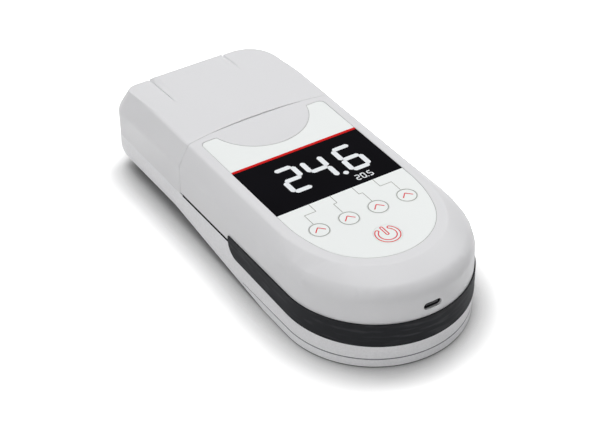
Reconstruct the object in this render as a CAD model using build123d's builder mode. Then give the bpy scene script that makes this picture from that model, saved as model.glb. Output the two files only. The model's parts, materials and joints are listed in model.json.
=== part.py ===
from build123d import *
from math import acos, atan2, degrees
import os

# A portable turbidity meter. Millimetres, +Z up, X across, the round front end towards -Y.
# The origin is at the middle of the footprint, on the surface that the meter stands on.

# Outside of the casing
HALF = 45.7
HEAD_Y = -60.0
REAR_Y = 103.7
CORNER = 9.5
TOP = 46.2
BOTTOM = 0.6
WALL = 2.6
SHOULDER_FRONT = 40.6
SHOULDER_REAR = 33.0
TOP_HALF = 39.2
TOP_NOSE_START = -41.2
TOP_NOSE_Y = -90.6
TOP_REAR_Y = 98.3
TOP_RIGHT_R = 20.0
TOP_LEFT_R = 5.0
RIM_R = 3.0
SHOULDER_ARC = 60.0
SHOULDER_OVER = 0.8
SHOULDER_R = 8.0
SIDE_ARC = 66.0
KEEL_R = 14.0
KEEL_FULL_Y = 46.0
KEEL_START_Y = -38.0
KEEL_LEAST = 0.3

# Levels of the joints between the shells
PART_Z = 20.7
PART_GAP = 0.7
LID_GAP = 0.15
FLOOR_Z = 4.8
FLOOR_T = 2.0
TUB_FILLET = 3.0
COVER_TOP = 4.5
COVER_REAR_Y = -21.2
GAP = 0.3
PAST = 3.0

# Arched seam in front of the lid
SEAM_R = 197.0
SEAM_Y = 40.9
SEAM_GAP = 0.3
SEAM_WALL = 2.4

# Lid hinge
AXIS_Y = 103.9
AXIS_Z = 21.0
BARREL_R = 2.5
PIN_R = 1.1
PIN_RUN = 0.05
BARREL_ROOM = 0.4
KNUCKLE_PITCH = 8.0
WEB_Z = 6.5
HINGE_HALF = 20.0

# Face sheet, window and keys
FACE_HALF = 34.5
FACE_REAR_Y = 34.7
FACE_NOSE_START = -39.9
FACE_NOSE_Y = -85.2
FACE_ARC = 70.0
FACE_CORNER = 3.0
SHEET_T = 0.3
WINDOW_REAR_Y = 5.0
WINDOW_FRONT_Y = -33.6
WINDOW_T = 1.2
SCOOP_R = 26.0
SCOOP_DEPTH = 0.6
SCOOP_PAD = 1.0
KEY_R = 4.7
KEY_PITCH = 15.8
KEY_Y = -52.1
POWER_R = 6.35
POWER_Y = -70.9
FLANGE = 1.1

# Grip band
BAND_TOP = 24.9
BAND_LOW_REAR = 15.1
BAND_LOW_FRONT = 12.4
BAND_END_Y = -9.6
BAND_PROUD = 0.7
BAND_SUNK = 1.0
BAND_LOW_CORNER = 7.5
BAND_TOP_CORNER = 2.0

# Sample well and light path
WELL_Y = 71.0
WELL_R = 12.75
WELL_OUT = 15.0
WELL_FLOOR = 5.0
WELL_TOP = 25.0
CUSHION_R = 10.75
CUSHION_T = 0.8
RAY_Z = 14.0
DECK_TOP = 24.0

# Batteries
CELL_R = 7.1
CELL_L = 50.0
CELL_PITCH = 15.2
CELL_Z = 14.5
CELL_Y = -53.0
TRAY_IN = 30.9
TRAY_REACH = 28.2
TRAY_FRONT = CELL_Y - TRAY_REACH
TRAY_REAR = CELL_Y + TRAY_REACH
TRAY_T = 1.5
TRAY_TOP = 23.3
NUB_R = 2.7
NUB_L = 1.0
PLATE_T = 0.5
PLATE_HALF = 4.0
PLATE_REACH = 5.0
SPRING_WIDE_R = 5.0
SPRING_TIP_R = 2.5
SPRING_L = TRAY_REAR - TRAY_FRONT - CELL_L - PLATE_T

# Electronics
BOARD_T = 1.6
BOARD_TOP = 28.7
BOARD_CORNER = 2.0
MAIN_BOARD_HALF = 37.0
MAIN_BOARD_ARC = 48.0
MAIN_BOARD_NOSE_Y = -98.0
MAIN_BOARD_REAR_Y = 12.0
KEY_BOARD_TOP = 41.4
KEY_BOARD_HALF = 31.0
KEY_BOARD_START = -52.0
KEY_BOARD_ARC = 45.0
KEY_BOARD_NOSE_Y = -82.0
KEY_BOARD_REAR_Y = -41.5
FLANGE_T = 0.9
DOME_R = 3.6
DOME_T = 0.3
APERTURE_HALF = 27.0
APERTURE_EDGE = 4.0
LCD_HALF = 29.5
LCD_EDGE = 2.0
LCD_GLASS_T = 0.9
LCD_FRAME_T = 2.8
LCD_FRAME_RIM = 1.0
RIBBON_T = 0.3
DISPLAY_RIBBON_HALF = 9.0
DISPLAY_RIBBON_Y = -16.0
OPTICS_RIBBON_HALF = 5.0
OPTICS_RIBBON_Y = 9.0
OPTICS_RIBBON_LOW = 12.0
OPTICS_RIBBON_BEND_Z = 17.0
OPTICS_RIBBON_BEND = 3.0
USB_Z = 30.3
USB_W = 8.94
USB_H = 3.2
USB_L = 7.4
USB_ROOM = 0.25
USB_INSET = 1.0
USB_WALL = 0.3
USB_BACK = 1.0
TONGUE_W = 6.6
TONGUE_T = 0.7

# Battery cover, its hooks and its finger grooves
COVER_PLATE = 2.2
COVER_CORNER = 4.0
COVER_TRAVEL = 8.0
HOOK_W = 2.4
HOOK_POST = 3.0
HOOK_TOE = 5.0
HOOK_TOP = 8.7
GROOVE_HALF = 9.0
GROOVE_W = 1.4
GROOVE_DEEP = 0.8
GROOVE_PITCH = 3.0
GROOVE_Y = COVER_REAR_Y - 9.0

# Deck under the lid
DECK_Z = 18.2
DECK_FRONT_Y = 44.0
PLATFORM_HALF = 41.2
PLATFORM_FRONT_Y = 46.5
PLATFORM_REAR_Y = 98.6
PLATFORM_CORNER = 10.0
FOAM_W = 1.6
FOAM_T = 1.0
BLOCK_HALF = 18.5
RAY_R = 2.0
LENS_R = 3.0
LENS_T = 1.2
LENS_STEP = 0.3
EMITTER_R = 2.6
DETECTOR_R = 2.8
EMITTER_BOARD_HALF = 12.0
DETECTOR_BOARD_HALF = 8.0
SENSOR_BOARD_LOW = 7.5

# Magnets that hold the lid shut
MAGNET_X = 30.0
MAGNET_Z = 34.0
MAGNET_R = 2.5
MAGNET_T = 1.5
CATCH_Y = 36.4
LID_MAGNET_Y = 39.8
MAGNET_BORE = 6.0

# Corners of the lid's top that fall away beside the hinge
DROP_LEFT_X = -23.0
DROP_LEFT_Y = 71.0
DROP_LEFT = 2.1
DROP_RIGHT_X = 13.2
DROP_RIGHT_Y = 78.0
DROP_RIGHT = 2.0
DROP_LEAST = 0.02
DROP_RAMP = 3.0

# Screws, posts and feet
POST_R = 3.6
DECK_POST_R = 3.0
BOARD_POST_R = 2.3
KEY_POST_R = 2.0
POST_CLEAR = 1.0
SCREW_R = 1.4
SCREW_HEAD_R = 2.6
SCREW_HEAD_L = 2.0
SCREW_SEAT = 8.8
SCREW_END = 31.0
DECK_SCREW_END = 9.0
DECK_SEAT = 2.5
SMALL_SCREW_R = 1.0
SMALL_HEAD_R = 2.0
SMALL_HEAD_L = 1.2
SMALL_SCREW_L = 5.0
FOOT_R = 5.0
FOOT_T = 1.6

os.makedirs("parts", exist_ok=True)


def finish(builder, name):
    """Label the sub-part and write it."""
    builder.part.label = name
    export_step(builder.part, f"parts/{name}.step")


def nosed(half, start, side_r, nose_y, rear, right_r, left_r):
    """Face with straight sides, rounded rear corners and a front of three tangent arcs."""
    inset = half - side_r
    reach = nose_y - start
    nose_r = (side_r**2 - inset**2 - reach**2) / (2 * (reach + side_r))
    turn = degrees(atan2(start - nose_y - nose_r, -inset))
    with BuildLine() as rim:
        Line((half, start), (half, rear - right_r))
        CenterArc((half - right_r, rear - right_r), right_r, 0, 90)
        Line((half - right_r, rear), (left_r - half, rear))
        CenterArc((left_r - half, rear - left_r), left_r, 90, 90)
        Line((-half, rear - left_r), (-half, start))
        CenterArc((-inset, start), side_r, 180, turn)
        CenterArc((0, nose_y + nose_r), nose_r, 180 + turn, 180 - 2 * turn)
        CenterArc((inset, start), side_r, -turn, turn)
    make_face(rim.edges())


def wall_face(half, rear, corner, centre_y=HEAD_Y):
    """Face with straight sides, rounded rear corners and a half-circle front."""
    with BuildLine() as rim:
        Line((half, centre_y), (half, rear - corner))
        CenterArc((half - corner, rear - corner), corner, 0, 90)
        Line((half - corner, rear), (corner - half, rear))
        CenterArc((corner - half, rear - corner), corner, 90, 90)
        Line((-half, rear - corner), (-half, centre_y))
        CenterArc((0, centre_y), half, 180, 180)
    make_face(rim.edges())


def shoulder_plane(drop):
    """Plane along the foot of the sloped shoulders, lower at the rear."""
    front_y = HEAD_Y - HALF
    rise = (SHOULDER_FRONT - SHOULDER_REAR) / (REAR_Y - front_y)
    height = SHOULDER_REAR + rise * REAR_Y - drop
    return Plane(origin=(0, 0, height), x_dir=(1, 0, 0), z_dir=(0, rise, 1))


def upper_form(inset, base):
    """Solid of the casing above a level, shrunk inwards by an inset."""
    with BuildPart() as cap:
        with BuildSketch(Plane.XY.offset(TOP - inset)):
            nosed(TOP_HALF - inset, TOP_NOSE_START, SIDE_ARC - inset, TOP_NOSE_Y + inset,
                  TOP_REAR_Y - inset, TOP_RIGHT_R - inset, TOP_LEFT_R - inset)
        with BuildSketch(shoulder_plane(inset)):
            nosed(HALF + SHOULDER_OVER - inset, HEAD_Y + 2, SHOULDER_ARC,
                  HEAD_Y - HALF - SHOULDER_OVER + inset, REAR_Y + SHOULDER_OVER - inset, CORNER - inset,
                  CORNER - inset)
        loft(ruled=True)
    with BuildPart() as prism:
        with BuildSketch(Plane.XY.offset(base)):
            wall_face(HALF - inset, REAR_Y - inset, CORNER - inset)
        extrude(amount=TOP - base)
    with BuildPart() as above:
        with BuildSketch(shoulder_plane(inset)):
            Rectangle(4 * HALF, 3 * REAR_Y)
        extrude(amount=TOP)
    crown = (prism.part & above.part) & cap.part
    return (prism.part - above.part) + crown


def keel_corner(side, radius):
    """Face between the square lower corner of the casing and its rounding."""
    edge = side * HALF
    tip = radius * (1 - 0.5**0.5)
    with BuildLine() as rim:
        Line((edge - side * radius, BOTTOM), (edge, BOTTOM))
        Line((edge, BOTTOM), (edge, BOTTOM + radius))
        ThreePointArc((edge, BOTTOM + radius), (edge - side * tip, BOTTOM + tip),
                      (edge - side * radius, BOTTOM))
    make_face(rim.edges())


def tub_half(half, rear, corner, base, round_r, front):
    """Rear half of a tub, rounded underneath along its sides and rear."""
    start = degrees(acos(1 - corner / round_r))
    low = base + round_r
    with BuildPart() as tub:
        with BuildSketch(Plane.XZ.offset(-front)):
            with BuildLine() as rim:
                Line((half, PART_Z), (-half, PART_Z))
                Line((-half, PART_Z), (-half, low))
                CenterArc((round_r - half, low), round_r, 180, 90)
                Line((round_r - half, base), (half - round_r, base))
                CenterArc((half - round_r, low), round_r, 270, 90)
                Line((half, low), (half, PART_Z))
            make_face(rim.edges())
        extrude(amount=front - rear)
        with BuildSketch(Plane.YZ.offset(-half)):
            with BuildLine() as rim:
                Line((rear, PART_Z), (front, PART_Z))
                Line((front, PART_Z), (front, base))
                Line((front, base), (rear - round_r, base))
                CenterArc((rear - round_r, low), round_r, 270, 90)
                Line((rear, low), (rear, PART_Z))
            make_face(rim.edges())
        extrude(amount=2 * half, mode=Mode.INTERSECT)
        for side, along, across in ((1, (1, 0, 0), (0, -1, 0)), (-1, (0, 1, 0), (1, 0, 0))):
            spot = (side * (half - corner), rear - corner, 0)
            with BuildSketch(Plane.XY.offset(base)):
                with Locations((side * (half - corner / 2), rear - corner / 2)):
                    Rectangle(corner, corner)
            extrude(amount=PART_Z - base, mode=Mode.SUBTRACT)
            with BuildSketch(Plane(origin=spot, x_dir=along, z_dir=across)):
                with BuildLine() as rim:
                    foot = CenterArc((corner - round_r, low), round_r, -start, start)
                    Line(foot @ 1, (corner, PART_Z))
                    Line((corner, PART_Z), (0, PART_Z))
                    Line((0, PART_Z), foot @ 0)
                make_face(rim.edges())
            revolve(axis=Axis(spot, (0, 0, 1)), revolution_arc=90)
    return tub.part


def lower_form():
    """Solid of the casing below the parting line."""
    with BuildPart() as head:
        with BuildSketch(Plane.XY.offset(BOTTOM)):
            with BuildLine() as rim:
                Line((HALF, HEAD_Y), (HALF, KEEL_FULL_Y))
                Line((HALF, KEEL_FULL_Y), (-HALF, KEEL_FULL_Y))
                Line((-HALF, KEEL_FULL_Y), (-HALF, HEAD_Y))
                CenterArc((0, HEAD_Y), HALF, 180, 180)
            make_face(rim.edges())
        extrude(amount=PART_Z - BOTTOM)
    keels = []
    for side in (-1, 1):
        with BuildPart() as keel:
            with BuildSketch(Plane.XZ.offset(-KEEL_START_Y)):
                keel_corner(side, KEEL_LEAST)
            with BuildSketch(Plane.XZ.offset(-KEEL_FULL_Y)):
                keel_corner(side, KEEL_R)
            loft(ruled=True)
        keels.append(keel.part)
    tail = tub_half(HALF, REAR_Y, CORNER, BOTTOM, KEEL_R, KEEL_FULL_Y)
    return (head.part - keels[0] - keels[1]) + tail


def seam_cylinder(radius):
    """Upright cylinder whose wall is the arched seam, grown or shrunk to a radius."""
    with BuildPart() as drum:
        with BuildSketch():
            with Locations((0, SEAM_Y - SEAM_R)):
                Circle(radius)
        extrude(amount=2 * TOP)
    return drum.part


def columns(spots, radius, low, high):
    """Round columns at some spots, between two levels."""
    with BuildPart() as posts:
        with BuildSketch(Plane.XY.offset(low)):
            with Locations(*spots):
                Circle(radius)
        extrude(amount=high - low)
    return posts.part


def block(x_range, y_range, z_range):
    """Plain block between three pairs of limits."""
    with BuildPart() as box:
        with BuildSketch(Plane.XY.offset(z_range[0])):
            with Locations(((x_range[0] + x_range[1]) / 2, (y_range[0] + y_range[1]) / 2)):
                Rectangle(x_range[1] - x_range[0], y_range[1] - y_range[0])
        extrude(amount=z_range[1] - z_range[0])
    return box.part


def rod(start, direction, radius, length):
    """Round rod from a point along a direction."""
    with BuildPart() as bar:
        with BuildSketch(Plane(origin=start, z_dir=direction)):
            Circle(radius)
        extrude(amount=length)
    return bar.part


def knuckles(centres, width, tail_z):
    """Hinge knuckles about the lid axis, each with a web that runs to the rear wall."""
    reach = AXIS_Y + BARREL_R
    with BuildPart() as row:
        for x in centres:
            with BuildSketch(Plane.YZ.offset(x - width / 2)):
                with Locations((AXIS_Y, AXIS_Z)):
                    Circle(BARREL_R)
                with BuildLine():
                    Polyline((REAR_Y - 1, AXIS_Z), (reach, AXIS_Z), (REAR_Y - 1, tail_z), close=True)
                make_face()
            extrude(amount=width)
    return row.part


def hinge_rods(centres, width, radius):
    """Rods along the lid axis that open the walls for the other part's knuckles."""
    room = rod((centres[0] - width / 2, AXIS_Y, AXIS_Z), (1, 0, 0), radius, width)
    for x in centres[1:]:
        room = room + rod((x - width / 2, AXIS_Y, AXIS_Z), (1, 0, 0), radius, width)
    return room


def corner_wedge(side, edge_x, start_y, drop, top):
    """Wedge that lowers one rear corner of the lid's top, deeper towards the rear."""
    with BuildPart() as wedge:
        outside = side * (HALF + PAST)
        for y, fall in ((start_y, DROP_LEAST), (REAR_Y, drop)):
            with BuildSketch(Plane.XZ.offset(-y)):
                with BuildLine():
                    Polyline((edge_x, top + PAST), (edge_x, top), (edge_x + side * DROP_RAMP, top - fall),
                             (outside, top - fall), (outside, top + PAST), close=True)
                make_face()
        loft(ruled=True)
    return wedge.part


def both_wedges(top):
    """The wedges of both corners, below a level."""
    left = corner_wedge(-1, DROP_LEFT_X, DROP_LEFT_Y, DROP_LEFT, top)
    return left + corner_wedge(1, DROP_RIGHT_X, DROP_RIGHT_Y, DROP_RIGHT, top)


# Forms that the shells share
UPPER_Z = PART_Z + PART_GAP
LID_Z = PART_Z + LID_GAP
outer = upper_form(0, LID_Z)
with BuildPart() as upper_outside:
    add(outer)
    walls = [face for face in upper_outside.faces() if abs(face.normal_at().Z) < 0.01]
    shoulder_line = ShapeList(e for face in walls for e in face.edges() if e.center().Z > SHOULDER_REAR - 1)
    fillet(shoulder_line, radius=SHOULDER_R)
    fillet(upper_outside.edges().group_by(Axis.Z)[-1], radius=RIM_R)

upper_room = upper_form(WALL, LID_Z - 1)
lower_outside = lower_form()
front_of_seam = seam_cylinder(SEAM_R)
front_of_gap = seam_cylinder(SEAM_R + SEAM_GAP)

# Grip band: a rubber ring round the head, sunk into both shells and a little proud of them
with BuildPart() as grip_band:
    band_base = BAND_LOW_FRONT - 1
    with BuildSketch(Plane.XY.offset(band_base)):
        wall_face(HALF + BAND_PROUD, 0, CORNER)
    extrude(amount=BAND_TOP - band_base)
    with BuildSketch(Plane.XY.offset(band_base)):
        wall_face(HALF - BAND_SUNK, CORNER, CORNER)
    extrude(amount=BAND_TOP - band_base, mode=Mode.SUBTRACT)
    band_front = HEAD_Y - HALF - BAND_PROUD
    with BuildSketch(Plane.YZ.offset(-HALF - BAND_PROUD)) as side_view:
        with BuildLine():
            Polyline((band_front, BAND_TOP), (BAND_END_Y, BAND_TOP), (BAND_END_Y, BAND_LOW_REAR),
                     (band_front, BAND_LOW_FRONT), close=True)
        make_face()
        rear_corners = side_view.vertices().group_by(Axis.X)[-1].sort_by(Axis.Y)
        fillet(rear_corners[0], radius=BAND_LOW_CORNER)
        fillet(rear_corners[-1], radius=BAND_TOP_CORNER)
    extrude(amount=2 * (HALF + BAND_PROUD), mode=Mode.INTERSECT)
finish(grip_band, "grip_band")

# Foot print and screw places
rear_feet_at = [(-24, 82), (24, 82)]
front_feet_at = [(-28, -62), (28, -62)]
case_screws_at = [(-31, 24), (31, 24), (-22, -90), (22, -90)]
deck_screws_at = [(-33, 53), (33, 53), (-33, 89), (33, 89)]
board_posts_at = [(-32.5, -37.5), (32.5, -37.5), (-32.5, 8), (32.5, 8)]
key_posts_at = [(-15.8, -62), (15.8, -62), (-29, -44.5), (29, -44.5)]
hooks_at = [(-34.4, -70), (34.4, -70), (-34.4, -34), (34.4, -34)]
casing_knuckles_at = [-2 * KNUCKLE_PITCH, 0, 2 * KNUCKLE_PITCH]
lid_knuckles_at = [-KNUCKLE_PITCH, KNUCKLE_PITCH]

# Lower casing: a tub with a raised floor over the battery cover
with BuildPart() as tub_room:
    with BuildSketch(Plane.XY.offset(FLOOR_Z + FLOOR_T)):
        with BuildLine():
            Line((HALF - WALL, HEAD_Y), (HALF - WALL, KEEL_FULL_Y))
            Line((HALF - WALL, KEEL_FULL_Y), (WALL - HALF, KEEL_FULL_Y))
            Line((WALL - HALF, KEEL_FULL_Y), (WALL - HALF, HEAD_Y))
            CenterArc((0, HEAD_Y), HALF - WALL, 180, 180)
        make_face()
    extrude(amount=PART_Z - FLOOR_Z - FLOOR_T)
    low_sides = tub_room.faces().sort_by(Axis.Z)[0].edges().filter_by(Axis.Y)
    fillet(low_sides, radius=TUB_FILLET)
rear_room = tub_half(HALF - WALL, REAR_Y - WALL, CORNER - WALL, BOTTOM + WALL, KEEL_R - WALL,
                     KEEL_FULL_Y - WALL)
tub_posts = (columns(case_screws_at, POST_R, BOTTOM, PART_Z)
             + columns(deck_screws_at, DECK_POST_R, BOTTOM, DECK_Z)) & lower_outside
with BuildPart() as lower_casing:
    add(lower_outside)
    add(tub_room.part, mode=Mode.SUBTRACT)
    add(rear_room, mode=Mode.SUBTRACT)
    add(tub_posts)
    add(block((-HALF, HALF), (HEAD_Y - HALF, COVER_REAR_Y + GAP), (BOTTOM, FLOOR_Z)), mode=Mode.SUBTRACT)
    add(block((-TRAY_IN, TRAY_IN), (TRAY_FRONT, TRAY_REAR), (FLOOR_Z, FLOOR_Z + FLOOR_T)),
        mode=Mode.SUBTRACT)
    for x, y in hooks_at:
        add(block((x - HOOK_W / 2 - GAP, x + HOOK_W / 2 + GAP),
                  (y - COVER_TRAVEL - GAP, y + HOOK_POST + GAP), (FLOOR_Z, FLOOR_Z + FLOOR_T)),
            mode=Mode.SUBTRACT)
    add(columns(case_screws_at, SCREW_HEAD_R + GAP, BOTTOM, SCREW_SEAT), mode=Mode.SUBTRACT)
    add(columns(case_screws_at, SCREW_R, BOTTOM, PART_Z), mode=Mode.SUBTRACT)
    add(columns(deck_screws_at, SCREW_R, DECK_SCREW_END, PART_Z), mode=Mode.SUBTRACT)
    add(columns(rear_feet_at, FOOT_R, BOTTOM, FOOT_T), mode=Mode.SUBTRACT)
    add(hinge_rods(lid_knuckles_at, KNUCKLE_PITCH + GAP, BARREL_R + BARREL_ROOM), mode=Mode.SUBTRACT)
    add(knuckles(casing_knuckles_at, KNUCKLE_PITCH - GAP, AXIS_Z - WEB_Z))
    add(rod((-HINGE_HALF - 1, AXIS_Y, AXIS_Z), (1, 0, 0), PIN_R, 2 * HINGE_HALF + 2), mode=Mode.SUBTRACT)
    add(grip_band.part, mode=Mode.SUBTRACT)
finish(lower_casing, "lower_casing")

# Battery cover: the base plate under the front half, held by four hooks over the floor
with BuildPart() as battery_cover:
    add(lower_outside)
    split(bisect_by=Plane.XY.offset(COVER_TOP), keep=Keep.BOTTOM)
    split(bisect_by=Plane.XZ.offset(-COVER_REAR_Y), keep=Keep.TOP)
    with BuildSketch(Plane.XY.offset(COVER_TOP)):
        wall_face(HALF - WALL, COVER_REAR_Y - WALL, COVER_CORNER)
    extrude(amount=COVER_PLATE + BOTTOM - COVER_TOP, mode=Mode.SUBTRACT)
    for x, y in hooks_at:
        add(block((x - HOOK_W / 2, x + HOOK_W / 2), (y, y + HOOK_POST),
                  (BOTTOM + COVER_PLATE, HOOK_TOP)))
        add(block((x - HOOK_W / 2, x + HOOK_W / 2), (y, y + HOOK_POST + HOOK_TOE),
                  (FLOOR_Z + FLOOR_T + GAP, HOOK_TOP)))
    add(columns(front_feet_at, FOOT_R, BOTTOM, FOOT_T), mode=Mode.SUBTRACT)
    for row in range(3):
        y = GROOVE_Y - GROOVE_PITCH * row
        add(block((-GROOVE_HALF, GROOVE_HALF), (y, y + GROOVE_W), (BOTTOM, BOTTOM + GROOVE_DEEP)),
            mode=Mode.SUBTRACT)
finish(battery_cover, "battery_cover")

# Upper casing
front_upper_room = upper_room & seam_cylinder(SEAM_R - SEAM_WALL)
scoop_pad = columns([(0, SEAM_Y)], SCOOP_R + 2, TOP - WALL - SCOOP_PAD, TOP) & front_upper_room
upper_posts = (columns(case_screws_at, POST_R, UPPER_Z, TOP - WALL)
               + columns(board_posts_at, BOARD_POST_R, BOARD_TOP, TOP - WALL)
               + columns(key_posts_at, KEY_POST_R, KEY_BOARD_TOP, TOP - WALL))
upper_posts = upper_posts & upper_form(POST_CLEAR, UPPER_Z)
scoop_ball_r = (SCOOP_R**2 + SCOOP_DEPTH**2) / (2 * SCOOP_DEPTH)
with BuildPart() as scoop_ball:
    with Locations((0, SEAM_Y, TOP - SCOOP_DEPTH + scoop_ball_r)):
        Sphere(scoop_ball_r)
key_spots = [(x * KEY_PITCH, KEY_Y) for x in (-1.5, -0.5, 0.5, 1.5)]
with BuildPart() as upper_casing:
    add(upper_outside.part)
    split(bisect_by=Plane.XY.offset(UPPER_Z), keep=Keep.TOP)
    add(front_upper_room, mode=Mode.SUBTRACT)
    add(upper_posts)
    add(scoop_pad)
    add(front_of_seam, mode=Mode.INTERSECT)
    add(scoop_ball.part, mode=Mode.SUBTRACT)
    with BuildSketch(Plane.XY.offset(TOP - SHEET_T)):
        nosed(FACE_HALF, FACE_NOSE_START, FACE_ARC, FACE_NOSE_Y, FACE_REAR_Y, FACE_CORNER, FACE_CORNER)
        with Locations((0, SEAM_Y)):
            Circle(SCOOP_R, mode=Mode.SUBTRACT)
    extrude(amount=2 * SHEET_T, mode=Mode.SUBTRACT)
    add(block((-FACE_HALF, FACE_HALF), (WINDOW_FRONT_Y, WINDOW_REAR_Y), (TOP - WINDOW_T, TOP)),
        mode=Mode.SUBTRACT)
    add(block((-APERTURE_HALF, APERTURE_HALF),
              (WINDOW_FRONT_Y + APERTURE_EDGE, WINDOW_REAR_Y - APERTURE_EDGE), (TOP - 2 * WALL, TOP)),
        mode=Mode.SUBTRACT)
    add(columns(key_spots, KEY_R + GAP, TOP - 2 * WALL, TOP), mode=Mode.SUBTRACT)
    add(columns([(0, POWER_Y)], POWER_R + GAP, TOP - 2 * WALL, TOP), mode=Mode.SUBTRACT)
    with BuildSketch(Plane.XZ.offset(-HEAD_Y)):
        with Locations((0, USB_Z)):
            SlotOverall(USB_W + 2 * USB_ROOM, USB_H + 2 * USB_ROOM)
    extrude(amount=2 * HALF, mode=Mode.SUBTRACT)
    add(columns(case_screws_at, SCREW_R, UPPER_Z, SCREW_END), mode=Mode.SUBTRACT)
    add(columns(board_posts_at, SMALL_SCREW_R, BOARD_TOP, BOARD_TOP + SMALL_SCREW_L + GAP),
        mode=Mode.SUBTRACT)
    for x in (-MAGNET_X, MAGNET_X):
        add(rod((x, CATCH_Y - PAST, MAGNET_Z), (0, 1, 0), MAGNET_R, MAGNET_T + PAST), mode=Mode.SUBTRACT)
    add(grip_band.part, mode=Mode.SUBTRACT)
finish(upper_casing, "upper_casing")

# Lid over the sample chamber
lid_room = upper_room - seam_cylinder(SEAM_R + SEAM_GAP + SEAM_WALL) - both_wedges(TOP - WALL)
with BuildPart() as lid:
    add(upper_outside.part)
    add(front_of_gap, mode=Mode.SUBTRACT)
    add(lid_room, mode=Mode.SUBTRACT)
    add(hinge_rods(casing_knuckles_at, KNUCKLE_PITCH + GAP, BARREL_R + BARREL_ROOM), mode=Mode.SUBTRACT)
    add(knuckles(lid_knuckles_at, KNUCKLE_PITCH - GAP, AXIS_Z + WEB_Z))
    add(rod((-HINGE_HALF - 1, AXIS_Y, AXIS_Z), (1, 0, 0), PIN_R + PIN_RUN, 2 * HINGE_HALF + 2),
        mode=Mode.SUBTRACT)
    for x in (-MAGNET_X, MAGNET_X):
        add(rod((x, LID_MAGNET_Y, MAGNET_Z), (0, 1, 0), MAGNET_R, MAGNET_BORE), mode=Mode.SUBTRACT)
    add(both_wedges(TOP), mode=Mode.SUBTRACT)
finish(lid, "lid")

with BuildPart() as hinge_pin:
    add(rod((-HINGE_HALF + GAP / 2, AXIS_Y, AXIS_Z), (1, 0, 0), PIN_R, 2 * HINGE_HALF - GAP))
finish(hinge_pin, "hinge_pin")

with BuildPart() as lid_magnets:
    for x in (-MAGNET_X, MAGNET_X):
        add(rod((x, LID_MAGNET_Y, MAGNET_Z), (0, 1, 0), MAGNET_R, MAGNET_T))
finish(lid_magnets, "lid_magnets")

with BuildPart() as catch_magnets:
    for x in (-MAGNET_X, MAGNET_X):
        add(rod((x, CATCH_Y, MAGNET_Z), (0, 1, 0), MAGNET_R, MAGNET_T))
finish(catch_magnets, "catch_magnets")

# Deck under the lid
with BuildPart() as chamber_deck:
    with BuildSketch(Plane.XY.offset(DECK_Z)):
        with BuildLine():
            rear = REAR_Y - WALL
            corner = CORNER - WALL
            half = HALF - WALL
            Line((half, DECK_FRONT_Y), (half, rear - corner))
            CenterArc((half - corner, rear - corner), corner, 0, 90)
            Line((half - corner, rear), (corner - half, rear))
            CenterArc((corner - half, rear - corner), corner, 90, 90)
            Line((-half, rear - corner), (-half, DECK_FRONT_Y))
            Line((-half, DECK_FRONT_Y), (half, DECK_FRONT_Y))
        make_face()
    extrude(amount=PART_Z - DECK_Z)
    with BuildSketch(Plane.XY.offset(PART_Z)):
        with Locations((0, (PLATFORM_FRONT_Y + PLATFORM_REAR_Y) / 2)):
            RectangleRounded(2 * PLATFORM_HALF, PLATFORM_REAR_Y - PLATFORM_FRONT_Y, PLATFORM_CORNER)
    extrude(amount=DECK_TOP - PART_Z)
    add(columns([(0, WELL_Y)], WELL_OUT, DECK_Z, DECK_TOP), mode=Mode.SUBTRACT)
    add(columns(deck_screws_at, SCREW_HEAD_R + GAP, DECK_TOP - DECK_SEAT, DECK_TOP), mode=Mode.SUBTRACT)
    add(columns(deck_screws_at, SCREW_R, DECK_Z, DECK_TOP), mode=Mode.SUBTRACT)
finish(chamber_deck, "chamber_deck")

with BuildPart() as light_baffle:
    with BuildSketch(Plane.XY.offset(DECK_TOP)):
        with Locations((0, (PLATFORM_FRONT_Y + PLATFORM_REAR_Y) / 2)):
            RectangleRounded(2 * PLATFORM_HALF, PLATFORM_REAR_Y - PLATFORM_FRONT_Y, PLATFORM_CORNER)
            RectangleRounded(2 * PLATFORM_HALF - 2 * FOAM_W, PLATFORM_REAR_Y - PLATFORM_FRONT_Y - 2 * FOAM_W,
                             PLATFORM_CORNER - FOAM_W, mode=Mode.SUBTRACT)
    extrude(amount=FOAM_T)
finish(light_baffle, "light_baffle")

# Sample well and the light path through it
with BuildPart() as sample_well:
    with BuildSketch(Plane.XY.offset(BOTTOM + WALL)):
        with Locations((0, WELL_Y)):
            Circle(WELL_OUT)
    extrude(amount=WELL_TOP - BOTTOM - WALL)
    add(columns([(0, WELL_Y)], WELL_R, WELL_FLOOR, WELL_TOP), mode=Mode.SUBTRACT)
    add(columns([(0, WELL_Y)], CUSHION_R, WELL_FLOOR - CUSHION_T, WELL_FLOOR), mode=Mode.SUBTRACT)
    add(rod((0, WELL_Y - 2 * WELL_OUT, RAY_Z), (0, 1, 0), RAY_R, 4 * WELL_OUT), mode=Mode.SUBTRACT)
    add(rod((0, WELL_Y, RAY_Z), (1, 0, 0), RAY_R, 2 * WELL_OUT), mode=Mode.SUBTRACT)
finish(sample_well, "sample_well")

with BuildPart() as well_cushion:
    add(columns([(0, WELL_Y)], CUSHION_R, WELL_FLOOR - CUSHION_T, WELL_FLOOR))
finish(well_cushion, "well_cushion")

with BuildPart() as optical_block:
    add(block((-BLOCK_HALF, BLOCK_HALF), (WELL_Y - BLOCK_HALF, WELL_Y + BLOCK_HALF), (BOTTOM + WALL, DECK_Z)))
    add(columns([(0, WELL_Y)], WELL_OUT, BOTTOM + WALL, DECK_Z), mode=Mode.SUBTRACT)
    add(rod((0, WELL_Y - BLOCK_HALF, RAY_Z), (0, 1, 0), LENS_R, 2 * BLOCK_HALF), mode=Mode.SUBTRACT)
    add(rod((0, WELL_Y, RAY_Z), (1, 0, 0), LENS_R, BLOCK_HALF), mode=Mode.SUBTRACT)
finish(optical_block, "optical_block")

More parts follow.
